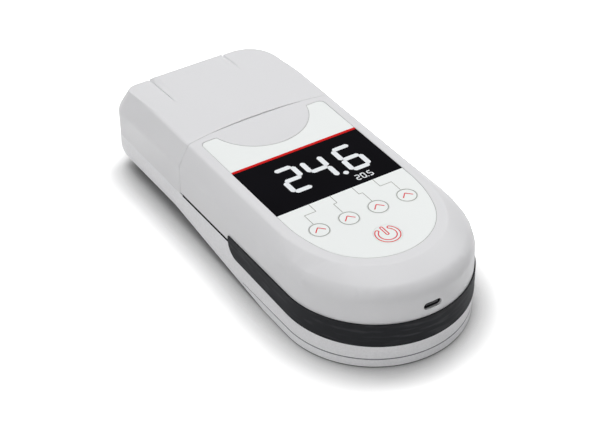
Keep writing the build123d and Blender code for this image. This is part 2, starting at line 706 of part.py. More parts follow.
LENS_AT = WELL_OUT + LENS_STEP
with BuildPart() as lenses:
    add(rod((0, WELL_Y - LENS_AT, RAY_Z), (0, -1, 0), LENS_R, LENS_T))
    add(rod((0, WELL_Y + LENS_AT, RAY_Z), (0, 1, 0), LENS_R, LENS_T))
    add(rod((LENS_AT, WELL_Y, RAY_Z), (1, 0, 0), LENS_R, LENS_T))
finish(lenses, "lenses")

SENSOR_AT = LENS_AT + LENS_T
with BuildPart() as emitter:
    add(rod((0, WELL_Y - SENSOR_AT, RAY_Z), (0, -1, 0), EMITTER_R, BLOCK_HALF - SENSOR_AT))
finish(emitter, "emitter")

with BuildPart() as detectors:
    add(rod((0, WELL_Y + SENSOR_AT, RAY_Z), (0, 1, 0), DETECTOR_R, BLOCK_HALF - SENSOR_AT))
    add(rod((SENSOR_AT, WELL_Y, RAY_Z), (1, 0, 0), DETECTOR_R, BLOCK_HALF - SENSOR_AT))
finish(detectors, "detectors")

with BuildPart() as emitter_board:
    front = WELL_Y - BLOCK_HALF
    add(block((-EMITTER_BOARD_HALF, EMITTER_BOARD_HALF), (front - BOARD_T, front),
              (SENSOR_BOARD_LOW, DECK_Z)))
finish(emitter_board, "emitter_board")

with BuildPart() as detector_boards:
    rear = WELL_Y + BLOCK_HALF
    add(block((-DETECTOR_BOARD_HALF, DETECTOR_BOARD_HALF), (rear, rear + BOARD_T),
              (SENSOR_BOARD_LOW, DECK_Z)))
    add(block((BLOCK_HALF, BLOCK_HALF + BOARD_T),
              (WELL_Y - DETECTOR_BOARD_HALF, WELL_Y + DETECTOR_BOARD_HALF), (SENSOR_BOARD_LOW, DECK_Z)))
finish(detector_boards, "detector_boards")

# Face sheet on both sides of the display window
with BuildPart() as rear_label:
    with BuildSketch(Plane.XY.offset(TOP - SHEET_T)):
        nosed(FACE_HALF, FACE_NOSE_START, FACE_ARC, FACE_NOSE_Y, FACE_REAR_Y, FACE_CORNER, FACE_CORNER)
        with Locations((0, SEAM_Y)):
            Circle(SCOOP_R, mode=Mode.SUBTRACT)
    extrude(amount=SHEET_T)
    split(bisect_by=Plane.XZ.offset(-WINDOW_REAR_Y), keep=Keep.BOTTOM)
finish(rear_label, "rear_label")

with BuildPart() as key_label:
    with BuildSketch(Plane.XY.offset(TOP - SHEET_T)):
        nosed(FACE_HALF, FACE_NOSE_START, FACE_ARC, FACE_NOSE_Y, FACE_REAR_Y, FACE_CORNER, FACE_CORNER)
        with Locations(*key_spots):
            Circle(KEY_R + GAP, mode=Mode.SUBTRACT)
        with Locations((0, POWER_Y)):
            Circle(POWER_R + GAP, mode=Mode.SUBTRACT)
    extrude(amount=SHEET_T)
    split(bisect_by=Plane.XZ.offset(-WINDOW_FRONT_Y), keep=Keep.TOP)
finish(key_label, "key_label")

# Display
with BuildPart() as display_window:
    add(block((-FACE_HALF, FACE_HALF), (WINDOW_FRONT_Y, WINDOW_REAR_Y), (TOP - WINDOW_T, TOP)))
finish(display_window, "display_window")

LCD_TOP = TOP - WALL
with BuildPart() as lcd_glass:
    add(block((-LCD_HALF, LCD_HALF), (WINDOW_FRONT_Y + LCD_EDGE, WINDOW_REAR_Y - LCD_EDGE),
              (LCD_TOP - LCD_GLASS_T, LCD_TOP)))
finish(lcd_glass, "lcd_glass")

with BuildPart() as lcd_frame:
    frame_half = LCD_HALF + LCD_FRAME_RIM
    frame_edge = LCD_EDGE - LCD_FRAME_RIM
    add(block((-frame_half, frame_half), (WINDOW_FRONT_Y + frame_edge, WINDOW_REAR_Y - frame_edge),
              (LCD_TOP - LCD_GLASS_T - LCD_FRAME_T, LCD_TOP - LCD_GLASS_T)))
finish(lcd_frame, "lcd_frame")

# Keys: a flat cap with a flange that keeps it under the casing top
FLANGE_TOP = TOP - WALL - GAP


def make_key(name, x, y, radius):
    """One key, standing in its hole in the casing."""
    with BuildPart() as key:
        with BuildSketch(Plane.XY.offset(FLANGE_TOP - FLANGE_T)):
            with Locations((x, y)):
                Circle(radius + FLANGE)
        extrude(amount=FLANGE_T)
        with BuildSketch(Plane.XY.offset(FLANGE_TOP)):
            with Locations((x, y)):
                Circle(radius)
        extrude(amount=TOP - FLANGE_TOP)
    finish(key, name)


for number, (x, y) in enumerate(key_spots, start=1):
    make_key(f"key_{number}", x, y, KEY_R)
make_key("power_key", 0, POWER_Y, POWER_R)

with BuildPart() as key_board:
    with BuildSketch(Plane.XY.offset(KEY_BOARD_TOP - BOARD_T)):
        nosed(KEY_BOARD_HALF, KEY_BOARD_START, KEY_BOARD_ARC, KEY_BOARD_NOSE_Y, KEY_BOARD_REAR_Y,
              BOARD_CORNER, BOARD_CORNER)
    extrude(amount=BOARD_T)
finish(key_board, "key_board")

with BuildPart() as key_domes:
    dome_ball_r = (DOME_R**2 + DOME_T**2) / (2 * DOME_T)
    for x, y in key_spots + [(0, POWER_Y)]:
        with BuildSketch(Plane(origin=(x, y, KEY_BOARD_TOP), x_dir=(1, 0, 0), z_dir=(0, -1, 0))):
            with BuildLine():
                Line((0, 0), (DOME_R, 0))
                Line((0, 0), (0, DOME_T))
                RadiusArc((0, DOME_T), (DOME_R, 0), dome_ball_r)
            make_face()
        revolve(axis=Axis((x, y, 0), (0, 0, 1)))
finish(key_domes, "key_domes")

# Main board, with the charging and data socket at its front edge
with BuildPart() as main_board:
    with BuildSketch(Plane.XY.offset(BOARD_TOP - BOARD_T)):
        nosed(MAIN_BOARD_HALF, HEAD_Y, MAIN_BOARD_ARC, MAIN_BOARD_NOSE_Y, MAIN_BOARD_REAR_Y, BOARD_CORNER,
              BOARD_CORNER)
        with Locations(*case_screws_at):
            Circle(POST_R + 2 * GAP, mode=Mode.SUBTRACT)
    extrude(amount=BOARD_T)
    add(columns(board_posts_at, SMALL_SCREW_R, BOARD_TOP - BOARD_T, BOARD_TOP), mode=Mode.SUBTRACT)
finish(main_board, "main_board")

USB_MOUTH = HEAD_Y - HALF + USB_INSET
with BuildPart() as usb_socket:
    with BuildSketch(Plane.XZ.offset(-USB_MOUTH)):
        with Locations((0, USB_Z)):
            SlotOverall(USB_W, USB_H)
    extrude(amount=-USB_L)
    with BuildSketch(Plane.XZ.offset(-USB_MOUTH)):
        with Locations((0, USB_Z)):
            SlotOverall(USB_W - 2 * USB_WALL, USB_H - 2 * USB_WALL)
            Rectangle(TONGUE_W, TONGUE_T, mode=Mode.SUBTRACT)
    extrude(amount=USB_BACK - USB_L, mode=Mode.SUBTRACT)
finish(usb_socket, "usb_socket")

with BuildPart() as board_screws:
    under = BOARD_TOP - BOARD_T
    add(columns(board_posts_at, SMALL_SCREW_R, under, BOARD_TOP + SMALL_SCREW_L))
    add(columns(board_posts_at, SMALL_HEAD_R, under - SMALL_HEAD_L, under))
finish(board_screws, "board_screws")

with BuildPart() as display_ribbon:
    add(block((-DISPLAY_RIBBON_HALF, DISPLAY_RIBBON_HALF), (DISPLAY_RIBBON_Y, DISPLAY_RIBBON_Y + RIBBON_T),
              (BOARD_TOP, LCD_TOP - LCD_GLASS_T - LCD_FRAME_T)))
finish(display_ribbon, "display_ribbon")

RIBBON_END_Y = WELL_Y - BLOCK_HALF - BOARD_T - 0.1
with BuildPart() as optics_ribbon:
    with BuildSketch(Plane.YZ.offset(-OPTICS_RIBBON_HALF)):
        with BuildLine() as route:
            FilletPolyline((OPTICS_RIBBON_Y, BOARD_TOP - BOARD_T), (OPTICS_RIBBON_Y, OPTICS_RIBBON_BEND_Z),
                           (RIBBON_END_Y, OPTICS_RIBBON_LOW), radius=OPTICS_RIBBON_BEND)
        trace(route.line, line_width=RIBBON_T)
    extrude(amount=2 * OPTICS_RIBBON_HALF)
finish(optics_ribbon, "optics_ribbon")

# Batteries in a tray that opens downwards
with BuildPart() as battery_tray:
    add(block((-TRAY_IN - TRAY_T, TRAY_IN + TRAY_T), (TRAY_FRONT - TRAY_T, TRAY_REAR + TRAY_T),
              (FLOOR_Z + FLOOR_T, TRAY_TOP)))
    add(block((-TRAY_IN, TRAY_IN), (TRAY_FRONT, TRAY_REAR), (FLOOR_Z, TRAY_TOP - TRAY_T)), mode=Mode.SUBTRACT)
finish(battery_tray, "battery_tray")

cells_x = [place * CELL_PITCH for place in (-1.5, -0.5, 0.5, 1.5)]
with BuildPart() as batteries:
    for place, x in enumerate(cells_x):
        way = 1 if place % 2 else -1
        plus = TRAY_REAR - PLATE_T if way == 1 else TRAY_FRONT + PLATE_T
        add(rod((x, plus, CELL_Z), (0, -way, 0), NUB_R, NUB_L))
        add(rod((x, plus - way * NUB_L, CELL_Z), (0, -way, 0), CELL_R, CELL_L - NUB_L))
finish(batteries, "batteries")

with BuildPart() as contact_plates:
    for place, x in enumerate(cells_x):
        wall_y = TRAY_REAR - PLATE_T if place % 2 else TRAY_FRONT
        add(block((x - PLATE_HALF, x + PLATE_HALF), (wall_y, wall_y + PLATE_T),
                  (CELL_Z - PLATE_REACH, CELL_Z + PLATE_REACH)))
finish(contact_plates, "contact_plates")

with BuildPart() as contact_springs:
    for place, x in enumerate(cells_x):
        way = 1 if place % 2 else -1
        wall_y = TRAY_FRONT if way == 1 else TRAY_REAR
        with BuildSketch(Plane(origin=(x, wall_y, CELL_Z), z_dir=(0, way, 0))):
            Circle(SPRING_WIDE_R)
        with BuildSketch(Plane(origin=(x, wall_y + way * SPRING_L, CELL_Z), z_dir=(0, way, 0))):
            Circle(SPRING_TIP_R)
        loft()
finish(contact_springs, "contact_springs")

# Screws and feet
with BuildPart() as casing_screws:
    add(columns(case_screws_at, SCREW_HEAD_R, SCREW_SEAT - SCREW_HEAD_L, SCREW_SEAT))
    add(columns(case_screws_at, SCREW_R, SCREW_SEAT, SCREW_END))
finish(casing_screws, "casing_screws")

with BuildPart() as deck_screws:
    seat = DECK_TOP - DECK_SEAT
    add(columns(deck_screws_at, SCREW_HEAD_R, seat, seat + SCREW_HEAD_L))
    add(columns(deck_screws_at, SCREW_R, DECK_SCREW_END, seat))
finish(deck_screws, "deck_screws")

with BuildPart() as rear_feet:
    add(columns(rear_feet_at, FOOT_R, 0, FOOT_T))
finish(rear_feet, "rear_feet")

with BuildPart() as front_feet:
    add(columns(front_feet_at, FOOT_R, 0, FOOT_T))
finish(front_feet, "front_feet")
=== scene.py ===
# %% [markdown]
# A portable turbidity meter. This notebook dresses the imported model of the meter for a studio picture.
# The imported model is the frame: every piece made here rides on one of its bodies and lies where it says.
# Lengths are in millimetres, and MM turns them into Blender's metres.

# %% Load the frame
import json
from math import atan2, cos, degrees, hypot, pi, radians, sin

import bmesh
import bpy
from mathutils import Matrix, Vector


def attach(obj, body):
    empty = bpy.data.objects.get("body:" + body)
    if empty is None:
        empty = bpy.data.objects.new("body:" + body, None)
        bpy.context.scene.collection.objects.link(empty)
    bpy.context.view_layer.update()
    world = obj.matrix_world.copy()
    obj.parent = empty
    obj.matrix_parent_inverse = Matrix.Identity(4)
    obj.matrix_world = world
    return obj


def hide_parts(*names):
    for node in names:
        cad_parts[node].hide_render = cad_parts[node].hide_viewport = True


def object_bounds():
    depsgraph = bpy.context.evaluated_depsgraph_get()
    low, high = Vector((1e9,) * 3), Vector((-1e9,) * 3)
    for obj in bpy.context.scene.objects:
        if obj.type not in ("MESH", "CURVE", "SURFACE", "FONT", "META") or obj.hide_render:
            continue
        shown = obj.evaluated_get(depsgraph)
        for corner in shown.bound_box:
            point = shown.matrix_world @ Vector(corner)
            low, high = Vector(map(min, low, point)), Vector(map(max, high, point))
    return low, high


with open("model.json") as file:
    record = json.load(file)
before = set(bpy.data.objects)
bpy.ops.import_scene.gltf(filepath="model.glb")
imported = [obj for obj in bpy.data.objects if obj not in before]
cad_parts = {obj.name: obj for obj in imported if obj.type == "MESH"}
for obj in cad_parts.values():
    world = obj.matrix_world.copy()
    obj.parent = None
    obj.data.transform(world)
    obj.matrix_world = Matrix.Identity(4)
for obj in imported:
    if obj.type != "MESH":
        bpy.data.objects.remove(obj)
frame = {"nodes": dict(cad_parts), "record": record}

MM = 0.001
cad_box = [list(corner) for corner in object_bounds()]
TOP = round(cad_box[1][2] / MM, 2)
nodes = frame["nodes"]
home = {node: body for body, members in frame["record"]["behaviour"]["bodies"].items() for node in members}
slot_of = {row["node"]: row["material_slot"] for row in frame["record"]["subparts"]}

# %% [markdown]
# The camera stands where the photographer stood: in front, to the left and well above, with a long lens.
# It could be placed by eye, but then the picture could not be compared with the photograph. Its place comes
# from a point on the face sheet, the azimuth and elevation of the view, the distance, and a small step
# sideways and downwards that puts the meter where it is in the picture.

# %% Camera
AIM = Vector((0, 5, TOP))
AZIMUTH = radians(-32.50)
ELEVATION = radians(37.23)
ROLL = radians(-0.40)
DISTANCE = 830.1
STEP_ACROSS = 2.35
STEP_UP = -31.26
LENS = 106.1
FAR_METRES = 20


def set_camera():
    """Camera at the photograph's angle."""
    back = Vector((sin(AZIMUTH) * cos(ELEVATION), -cos(AZIMUTH) * cos(ELEVATION), sin(ELEVATION)))
    across = Vector((cos(AZIMUTH), sin(AZIMUTH), 0))
    up = back.cross(across)
    right = across * cos(ROLL) + up * sin(ROLL)
    top = up * cos(ROLL) - across * sin(ROLL)
    place = AIM + right * STEP_ACROSS + top * STEP_UP + back * DISTANCE
    data = bpy.data.cameras.new("camera")
    data.lens = LENS
    data.clip_end = FAR_METRES
    camera = bpy.data.objects.new("camera", data)
    turn = Matrix((right, top, back)).transposed().to_4x4()
    camera.matrix_world = Matrix.Translation(place * MM) @ turn
    bpy.context.collection.objects.link(camera)
    bpy.context.scene.camera = camera
    return camera


camera = set_camera()
bpy.context.scene.view_settings.view_transform = "Standard"
print("camera at", [round(v / MM, 1) for v in camera.matrix_world.translation])

# %% [markdown]
# A moulded surface is never one flat colour. A photographed texture could show that, but it would have to
# be wrapped round every piece, while noise fits any shape. A shader node group gives each finish three
# things that change over the surface: a colour, a roughness that varies with handling, and a height for
# the bump. It is built once, and each material places it with its own numbers.

# %% Node helpers
def node_at(tree, kind, **values):
    """Add a node, and set its plain attributes."""
    node = tree.nodes.new(kind)
    for key, value in values.items():
        setattr(node, key, value)
    return node


def math_at(tree, operation, *terms):
    """Add a math node that is fed with outputs of other nodes or with plain numbers."""
    node = node_at(tree, "ShaderNodeMath", operation=operation)
    for socket, term in zip(node.inputs, terms):
        if isinstance(term, (int, float)):
            socket.default_value = term
        else:
            tree.links.new(term, socket)
    return node.outputs[0]


def noise_at(tree, vector, per_mm, detail):
    """Noise with a number of lumps to the millimetre."""
    noise = node_at(tree, "ShaderNodeTexNoise", noise_dimensions="3D")
    noise.inputs["Detail"].default_value = detail
    tree.links.new(math_at(tree, "MULTIPLY", per_mm, 1 / MM), noise.inputs["Scale"])
    tree.links.new(vector, noise.inputs["Vector"])
    return noise.outputs["Fac"]


def spread_at(tree, value, amount, middle):
    """middle + amount * (value - 0.5)."""
    return math_at(tree, "MULTIPLY_ADD", math_at(tree, "SUBTRACT", value, 0.5), amount, middle)


print("node helpers ready")

# %% Grain group
GRAIN_DETAIL = 3.0
PATCH_DETAIL = 2.0


def make_grain_group():
    """Node group: colour, roughness and height of a grained surface."""
    tree = bpy.data.node_groups.new("surface_grain", "ShaderNodeTree")
    for name, kind in (("Vector", "Vector"), ("Colour", "Color"), ("Grain per mm", "Float"),
                       ("Tone", "Float"), ("Patch per mm", "Float"), ("Patch Tone", "Float"),
                       ("Rough", "Float"), ("Rough Spread", "Float")):
        tree.interface.new_socket(name=name, in_out="INPUT", socket_type="NodeSocket" + kind)
    for name, kind in (("Colour", "Color"), ("Roughness", "Float"), ("Height", "Float")):
        tree.interface.new_socket(name=name, in_out="OUTPUT", socket_type="NodeSocket" + kind)
    given = tree.nodes.new("NodeGroupInput").outputs
    wanted = tree.nodes.new("NodeGroupOutput").inputs
    grain = noise_at(tree, given["Vector"], given["Grain per mm"], GRAIN_DETAIL)
    patch = noise_at(tree, given["Vector"], given["Patch per mm"], PATCH_DETAIL)
    fine = spread_at(tree, grain, given["Tone"], 1.0)
    broad = spread_at(tree, patch, given["Patch Tone"], fine)
    tinted = node_at(tree, "ShaderNodeVectorMath", operation="SCALE")
    tree.links.new(given["Colour"], tinted.inputs[0])
    tree.links.new(broad, tinted.inputs["Scale"])
    tree.links.new(tinted.outputs[0], wanted["Colour"])
    tree.links.new(spread_at(tree, patch, given["Rough Spread"], given["Rough"]), wanted["Roughness"])
    tree.links.new(grain, wanted["Height"])
    return tree


grain_group = make_grain_group()
print("group", grain_group.name, "sockets", len(grain_group.interface.items_tree))

# %% [markdown]
# The finishes. Colours are written as the eye sees them, from 0 to 255, and turned into the linear numbers
# that the shader wants. Every material could be wired by hand, but they would soon drift apart, so one
# function places the grain group and joins it to a Principled shader, and each material then gets what is
# special about it.

# %% Material helper
finishes = {}


def linear(red, green, blue):
    """Linear colour from screen values between 0 and 255."""
    parts = [value / 255 for value in (red, green, blue)]
    return [part / 12.92 if part <= 0.04045 else ((part + 0.055) / 1.055)**2.4 for part in parts] + [1]


def grained(name, colour, rough, grain=1.5, tone=0.03, patch=0.05, patch_tone=0.03, spread=0.1,
            depth=0.01, metallic=0.0):
    """Material with a grained colour, roughness and bump. depth is in millimetres."""
    material = bpy.data.materials.new(name)
    material.use_nodes = True
    tree = material.node_tree
    shader = tree.nodes["Principled BSDF"]
    shader.inputs["Metallic"].default_value = metallic
    where = node_at(tree, "ShaderNodeTexCoord", name="where")
    group = node_at(tree, "ShaderNodeGroup", node_tree=grain_group, name="grain")
    for key, value in (("Colour", linear(*colour)), ("Grain per mm", grain), ("Tone", tone),
                       ("Patch per mm", patch), ("Patch Tone", patch_tone), ("Rough", rough),
                       ("Rough Spread", spread)):
        group.inputs[key].default_value = value
    bump = node_at(tree, "ShaderNodeBump")
    bump.inputs["Distance"].default_value = depth * MM
    bump.inputs["Strength"].default_value = 1.0
    tree.links.new(where.outputs["Object"], group.inputs["Vector"])
    tree.links.new(group.outputs["Colour"], shader.inputs["Base Color"])
    tree.links.new(group.outputs["Roughness"], shader.inputs["Roughness"])
    tree.links.new(group.outputs["Height"], bump.inputs["Height"])
    tree.links.new(bump.outputs["Normal"], shader.inputs["Normal"])
    finishes[name] = material
    return material


def shader_of(material):
    """The Principled shader of a material."""
    return material.node_tree.nodes["Principled BSDF"]


print("middle grey in linear numbers", [round(part, 3) for part in linear(128, 128, 128)])

# %% [markdown]
# The casing and the lid are satin plastic with a barely visible grain. The lower shells are spark-textured,
# which shows as a fine even speckle, and their grey is painted a shade lighter than the casing's, as painted
# light on their low sides. The rubber band is charcoal, scuffed lighter in short streaks along its length.
# The streaks could be painted on a map of the band, but noise that is stretched sideways draws them without
# one.

# %% Plastic and rubber
grained("casing_grey", (222, 222, 224), 0.42, grain=2.0, tone=0.015, patch=0.03, patch_tone=0.02,
        depth=0.003)
# Painted light: the lower shells' grey is a shade lighter than the casing's, to brighten their low sides,
# which the lamps light less.
grained("tub_grey", (238, 238, 240), 0.55, grain=1.1, tone=0.22, patch=0.04, patch_tone=0.02, depth=0.03)
grained("foot_rubber", (52, 53, 55), 0.7, grain=1.4, tone=0.2, depth=0.03)
grained("cushion_rubber", (44, 44, 46), 0.75, grain=1.2, tone=0.15, depth=0.03)
BAND_SHINE = 0.12
STREAK_COLOUR = (50, 51, 54)
STREAK_TURN = (radians(3), radians(2), 0)
STREAK_STRETCH = (7.0, 7.0, 1.0)
STREAKS_PER_MM = 0.55
STREAK_DETAIL = 2.0
STREAK_FROM = 0.52
STREAK_TO = 0.72


def make_band_rubber():
    """Charcoal rubber with faint scuffs along the band."""
    material = grained("band_rubber", (32, 33, 36), 0.65, grain=1.6, tone=0.3, depth=0.02)
    shader_of(material).inputs["Specular IOR Level"].default_value = BAND_SHINE
    tree = material.node_tree
    slant = node_at(tree, "ShaderNodeMapping", vector_type="TEXTURE")
    slant.inputs["Rotation"].default_value = STREAK_TURN
    slant.inputs["Scale"].default_value = STREAK_STRETCH
    streak = node_at(tree, "ShaderNodeTexNoise")
    streak.inputs["Scale"].default_value = STREAKS_PER_MM / MM
    streak.inputs["Detail"].default_value = STREAK_DETAIL
    shape = node_at(tree, "ShaderNodeMapRange")
    shape.inputs["From Min"].default_value = STREAK_FROM
    shape.inputs["From Max"].default_value = STREAK_TO
    blend = node_at(tree, "ShaderNodeMix", data_type="RGBA")
    blend.inputs["B"].default_value = linear(*STREAK_COLOUR)
    tree.links.new(tree.nodes["where"].outputs["Object"], slant.inputs["Vector"])
    tree.links.new(slant.outputs[0], streak.inputs["Vector"])
    tree.links.new(streak.outputs["Fac"], shape.inputs["Value"])
    tree.links.new(shape.outputs[0], blend.inputs["Factor"])
    tree.links.new(tree.nodes["grain"].outputs["Colour"], blend.inputs["A"])
    tree.links.new(blend.outputs["Result"], shader_of(material).inputs["Base Color"])


make_band_rubber()
print("finishes", sorted(finishes))

# %% [markdown]
# The face sheet is a thin printed film, cool white with a faint velvet. Its inks are thin layers on it and
# hardly shine. The display window is near black and polished, and broad lighter patches in its colour paint a
# faint sheen on it. A pane like it mirrors a dark room, but the sky here is white, so its reflection is
# turned low to keep it dark.

# %% Face sheet, inks and window
INK_SHINE = 0.1
PANE_SHINE = 0.015
grained("face_white", (240, 243, 242), 0.36, grain=3.0, tone=0.006, patch=0.02, patch_tone=0.012,
        depth=0.0015)
grained("key_white", (238, 241, 240), 0.4, grain=3.0, tone=0.008, patch=0.02, patch_tone=0.012,
        depth=0.0015)
for ink, colour, tone in (("ink_red", (204, 3, 3), 0.06), ("ink_rose", (218, 70, 76), 0.08),
                          ("ink_grey", (160, 161, 156), 0.06), ("digit_white", (238, 241, 244), 0.02)):
    material = grained(ink, colour, 0.5, grain=2.5, tone=tone, depth=0.001)
    shader_of(material).inputs["Specular IOR Level"].default_value = INK_SHINE
# Painted reflection: broad patches (patch_tone 0.9) lighten the pane's near black in places, a faint sheen
# painted into its colour.
window = grained("window_black", (10, 9, 14), 0.16, grain=0.6, tone=0.1, patch=0.03, patch_tone=0.9,
                 spread=0.04, depth=0.0005)
shader_of(window).inputs["Specular IOR Level"].default_value = PANE_SHINE
grained("lcd_glass", (26, 30, 34), 0.12, grain=0.5, tone=0.1, depth=0.0005)
grained("frame_black", (30, 30, 32), 0.5)
print("finishes", len(finishes))

# %% [markdown]
# Inside are the parts that show when the lid is up, and those that stay hidden. The optics are dead black
# so that they throw no stray light, and the foam has open cells. A plain grey would do for what is hidden,
# but with the helper a true finish costs one line.

# %% Inner finishes
BOARD_COAT = 0.3
LENS_CLEAR = 0.9
grained("pin_steel", (186, 188, 190), 0.3, grain=2.5, tone=0.06, metallic=1.0)
grained("magnet_nickel", (196, 194, 188), 0.24, grain=1.5, tone=0.05, metallic=1.0)
grained("screw_steel", (168, 170, 172), 0.33, grain=2.0, tone=0.08, metallic=1.0)
grained("socket_steel", (62, 63, 66), 0.4, grain=2.5, tone=0.1, metallic=1.0)
grained("dome_steel", (200, 200, 200), 0.3, grain=2.0, tone=0.05, metallic=1.0)
grained("contact_nickel", (190, 188, 182), 0.3, grain=2.0, tone=0.06, metallic=1.0)
grained("foam_black", (34, 34, 35), 0.95, grain=2.2, tone=0.6, depth=0.12)
grained("optics_black", (38, 38, 40), 0.62, grain=1.6, tone=0.14, depth=0.02)
grained("well_black", (28, 28, 30), 0.5, grain=1.8, tone=0.12, depth=0.01)
grained("sensor_black", (20, 20, 22), 0.35, tone=0.1)
grained("tray_black", (40, 41, 43), 0.55, grain=1.4, tone=0.12)
grained("ribbon_tan", (176, 120, 58), 0.4, grain=0.8, tone=0.2)
grained("cell_jacket", (70, 74, 82), 0.35, grain=0.3, tone=0.1, patch_tone=0.2)
board = grained("board_green", (26, 84, 52), 0.4, grain=0.5, tone=0.5, patch=0.12, patch_tone=0.5)
shader_of(board).inputs["Coat Weight"].default_value = BOARD_COAT
lens = grained("lens_glass", (225, 232, 238), 0.05, grain=0.5, tone=0.01, spread=0.02, depth=0.0002)
shader_of(lens).inputs["Transmission Weight"].default_value = LENS_CLEAR
print("finishes", len(finishes))

# %% [markdown]
# Thin dark lines show on the meter along three joints: the gap between the shells, the gap round the face
# sheet and the gap round the cover. Left empty, such gaps turn black in a render, deeper than the shade in
# real ones looks, so each gets a filling whose colour is painted shade: the black gasket, pulled out flush, a
# light grey round the sheet and a mid grey round the cover.

# %% Joint finishes, with painted shade
GASKET_SHINE = 0.05
# The gasket's black; pulled out flush, it also paints the shade of the gap between the shells.
gasket = grained("gasket_and_gap_shade", (12, 12, 13), 0.9, grain=1.6, tone=0.3, depth=0.02)
shader_of(gasket).inputs["Specular IOR Level"].default_value = GASKET_SHINE
# Painted shade: this light grey fills the gap round the face sheet and stands in for the shade in it.
grained("sheet_gap_shade", (178, 178, 178), 0.8, grain=2.0, tone=0.1)
# Painted shade: this mid grey fills the gap round the cover and stands in for the shade in it.
grained("cover_gap_shade", (122, 122, 127), 0.8, grain=2.0, tone=0.1)
print("finishes", len(finishes))

# %% [markdown]
# New pieces are drawn in millimetres, in the same places as in the model, and turned into metres last, so
# each finished object sits at the origin, unturned and unscaled, as the model's own parts do. Faces are
# shaded smooth, with an edge kept sharp where its faces meet at more than a set angle. A modifier then lets
# large faces lead the normals, so that flats stay flat beside a rounded edge.

# %% Finish a piece
SHARP_ANGLE = radians(35)
MERGE_REACH = 0.0005


def finish_piece(bm, name, body, finish, stands_for=()):
    """Make an object of a bmesh in millimetres, and let it ride on a body."""
    bmesh.ops.scale(bm, vec=(MM, MM, MM), verts=bm.verts)
    for face in bm.faces:
        face.smooth = True
    for edge in bm.edges:
        if len(edge.link_faces) == 2 and edge.calc_face_angle(0) > SHARP_ANGLE:
            edge.smooth = False
    mesh = bpy.data.meshes.new(name)
    bm.to_mesh(mesh)
    bm.free()
    mesh.materials.append(finishes[finish])
    piece = bpy.data.objects.new(name, mesh)
    bpy.context.collection.objects.link(piece)
    flats = piece.modifiers.new("flats", "WEIGHTED_NORMAL")
    flats.keep_sharp = True
    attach(piece, body)
    if stands_for:
        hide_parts(*stands_for)
    print(name, "on", body, "with", len(mesh.polygons), "faces of", finish)


def outward(bm):
    """Merge doubles and turn every face outwards."""
    bmesh.ops.remove_doubles(bm, verts=bm.verts, dist=MERGE_REACH)
    bmesh.ops.recalc_face_normals(bm, faces=bm.faces)


# %% [markdown]
# The shells are already right in the model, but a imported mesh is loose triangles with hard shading. They
# could be drawn again from nothing, which would only bring small misfits. A copy is merged into one skin
# instead, and its flat triangles are joined into whole faces. Then the edges that a hand would feel, round
# the parting line and the lid's seam, get a small bevel that catches the light.

# %% Copy a node as one skin
HEART = Vector((0, 0, 22))      # inside the casing, to tell outer faces from inner ones
NEAR = 0.001
SKIN_MERGE = 0.0008
FLAT_ANGLE = radians(0.15)
RIM_ANGLE = radians(40)


def copy_of(node):
    """The node's mesh as one merged skin, in millimetres."""
    bm = bmesh.new()
    bm.from_mesh(nodes[node].data)
    bmesh.ops.scale(bm, vec=(1 / MM, 1 / MM, 1 / MM), verts=bm.verts)
    bmesh.ops.remove_doubles(bm, verts=bm.verts, dist=SKIN_MERGE)
    bmesh.ops.dissolve_limit(bm, angle_limit=FLAT_ANGLE, verts=bm.verts, edges=bm.edges)
    return bm


def cut_at(bm, place, normal):
    """Cut every face along a plane, and keep both sides."""
    bmesh.ops.bisect_plane(bm, geom=bm.verts[:] + bm.edges[:] + bm.faces[:], dist=NEAR,
                           plane_co=place, plane_no=normal)


def new_verts(made):
    """The vertices among what an operator made."""
    return [item for item in made if isinstance(item, bmesh.types.BMVert)]


def soften(bm, edges, radius):
    """Round a set of edges."""
    bmesh.ops.bevel(bm, geom=edges, offset=radius, offset_type="OFFSET", segments=2, profile=0.5,
                    affect="EDGES", material=-1, clamp_overlap=False)


def rim_edges(bm, on_rim):
    """Sharp edges on the outside of a shell, with both ends where on_rim says."""
    found = []
    for edge in bm.edges:
        if len(edge.link_faces) != 2 or edge.calc_face_angle(0) < RIM_ANGLE:
            continue
        if not all(on_rim(vert.co) for vert in edge.verts):
            continue
        away = (edge.verts[0].co + edge.verts[1].co) / 2 - HEART
        skins = [face for face in edge.link_faces
                 if not all(on_rim(vert.co) for vert in face.verts) and face.normal.dot(away) > 0]
        if skins:
            found.append(edge)
    return found


print("outer faces are told from", list(HEART))

# %% [markdown]
# The parting line runs round the meter between the shells, and the lid's seam is an arc seen from above. The
# edges along them could be picked by number, but the numbers change whenever the model is packed, so both
# are found from their height or their distance to the arc's centre.

# %% Parting line and seam
UPPER_Z = 21.4
LID_Z = 20.85
PART_Z = 20.7
SEAM_Y = 40.9
SEAM_R = 197.0
SEAM_CENTRE_Y = SEAM_Y - SEAM_R
LEVEL_REACH = 0.02
WALL_REACH = 0.03


def at_height(level):
    """Test for a point at a level."""
    return lambda point: abs(point.z - level) < LEVEL_REACH


def at_seam(radius):
    """Test for a point on the upright wall of the seam."""
    return lambda point: abs(hypot(point.x, point.y - SEAM_CENTRE_Y) - radius) < WALL_REACH


print("seam's centre at y", round(SEAM_CENTRE_Y, 1))

# %% [markdown]
# The solid lid keeps clear of the casing on every side, as a part on a hinge has to. The real one rests on
# the casing when it is shut and leaves no more than a hairline. So the copy's rim is let down and its front
# wall is brought nearly up to the seam, which still leaves it free to swing.

# %% Close the lid
SEAM_GAP = 0.3
SEAM_SHUT = 0.1
RIM_SHUT = 0.02


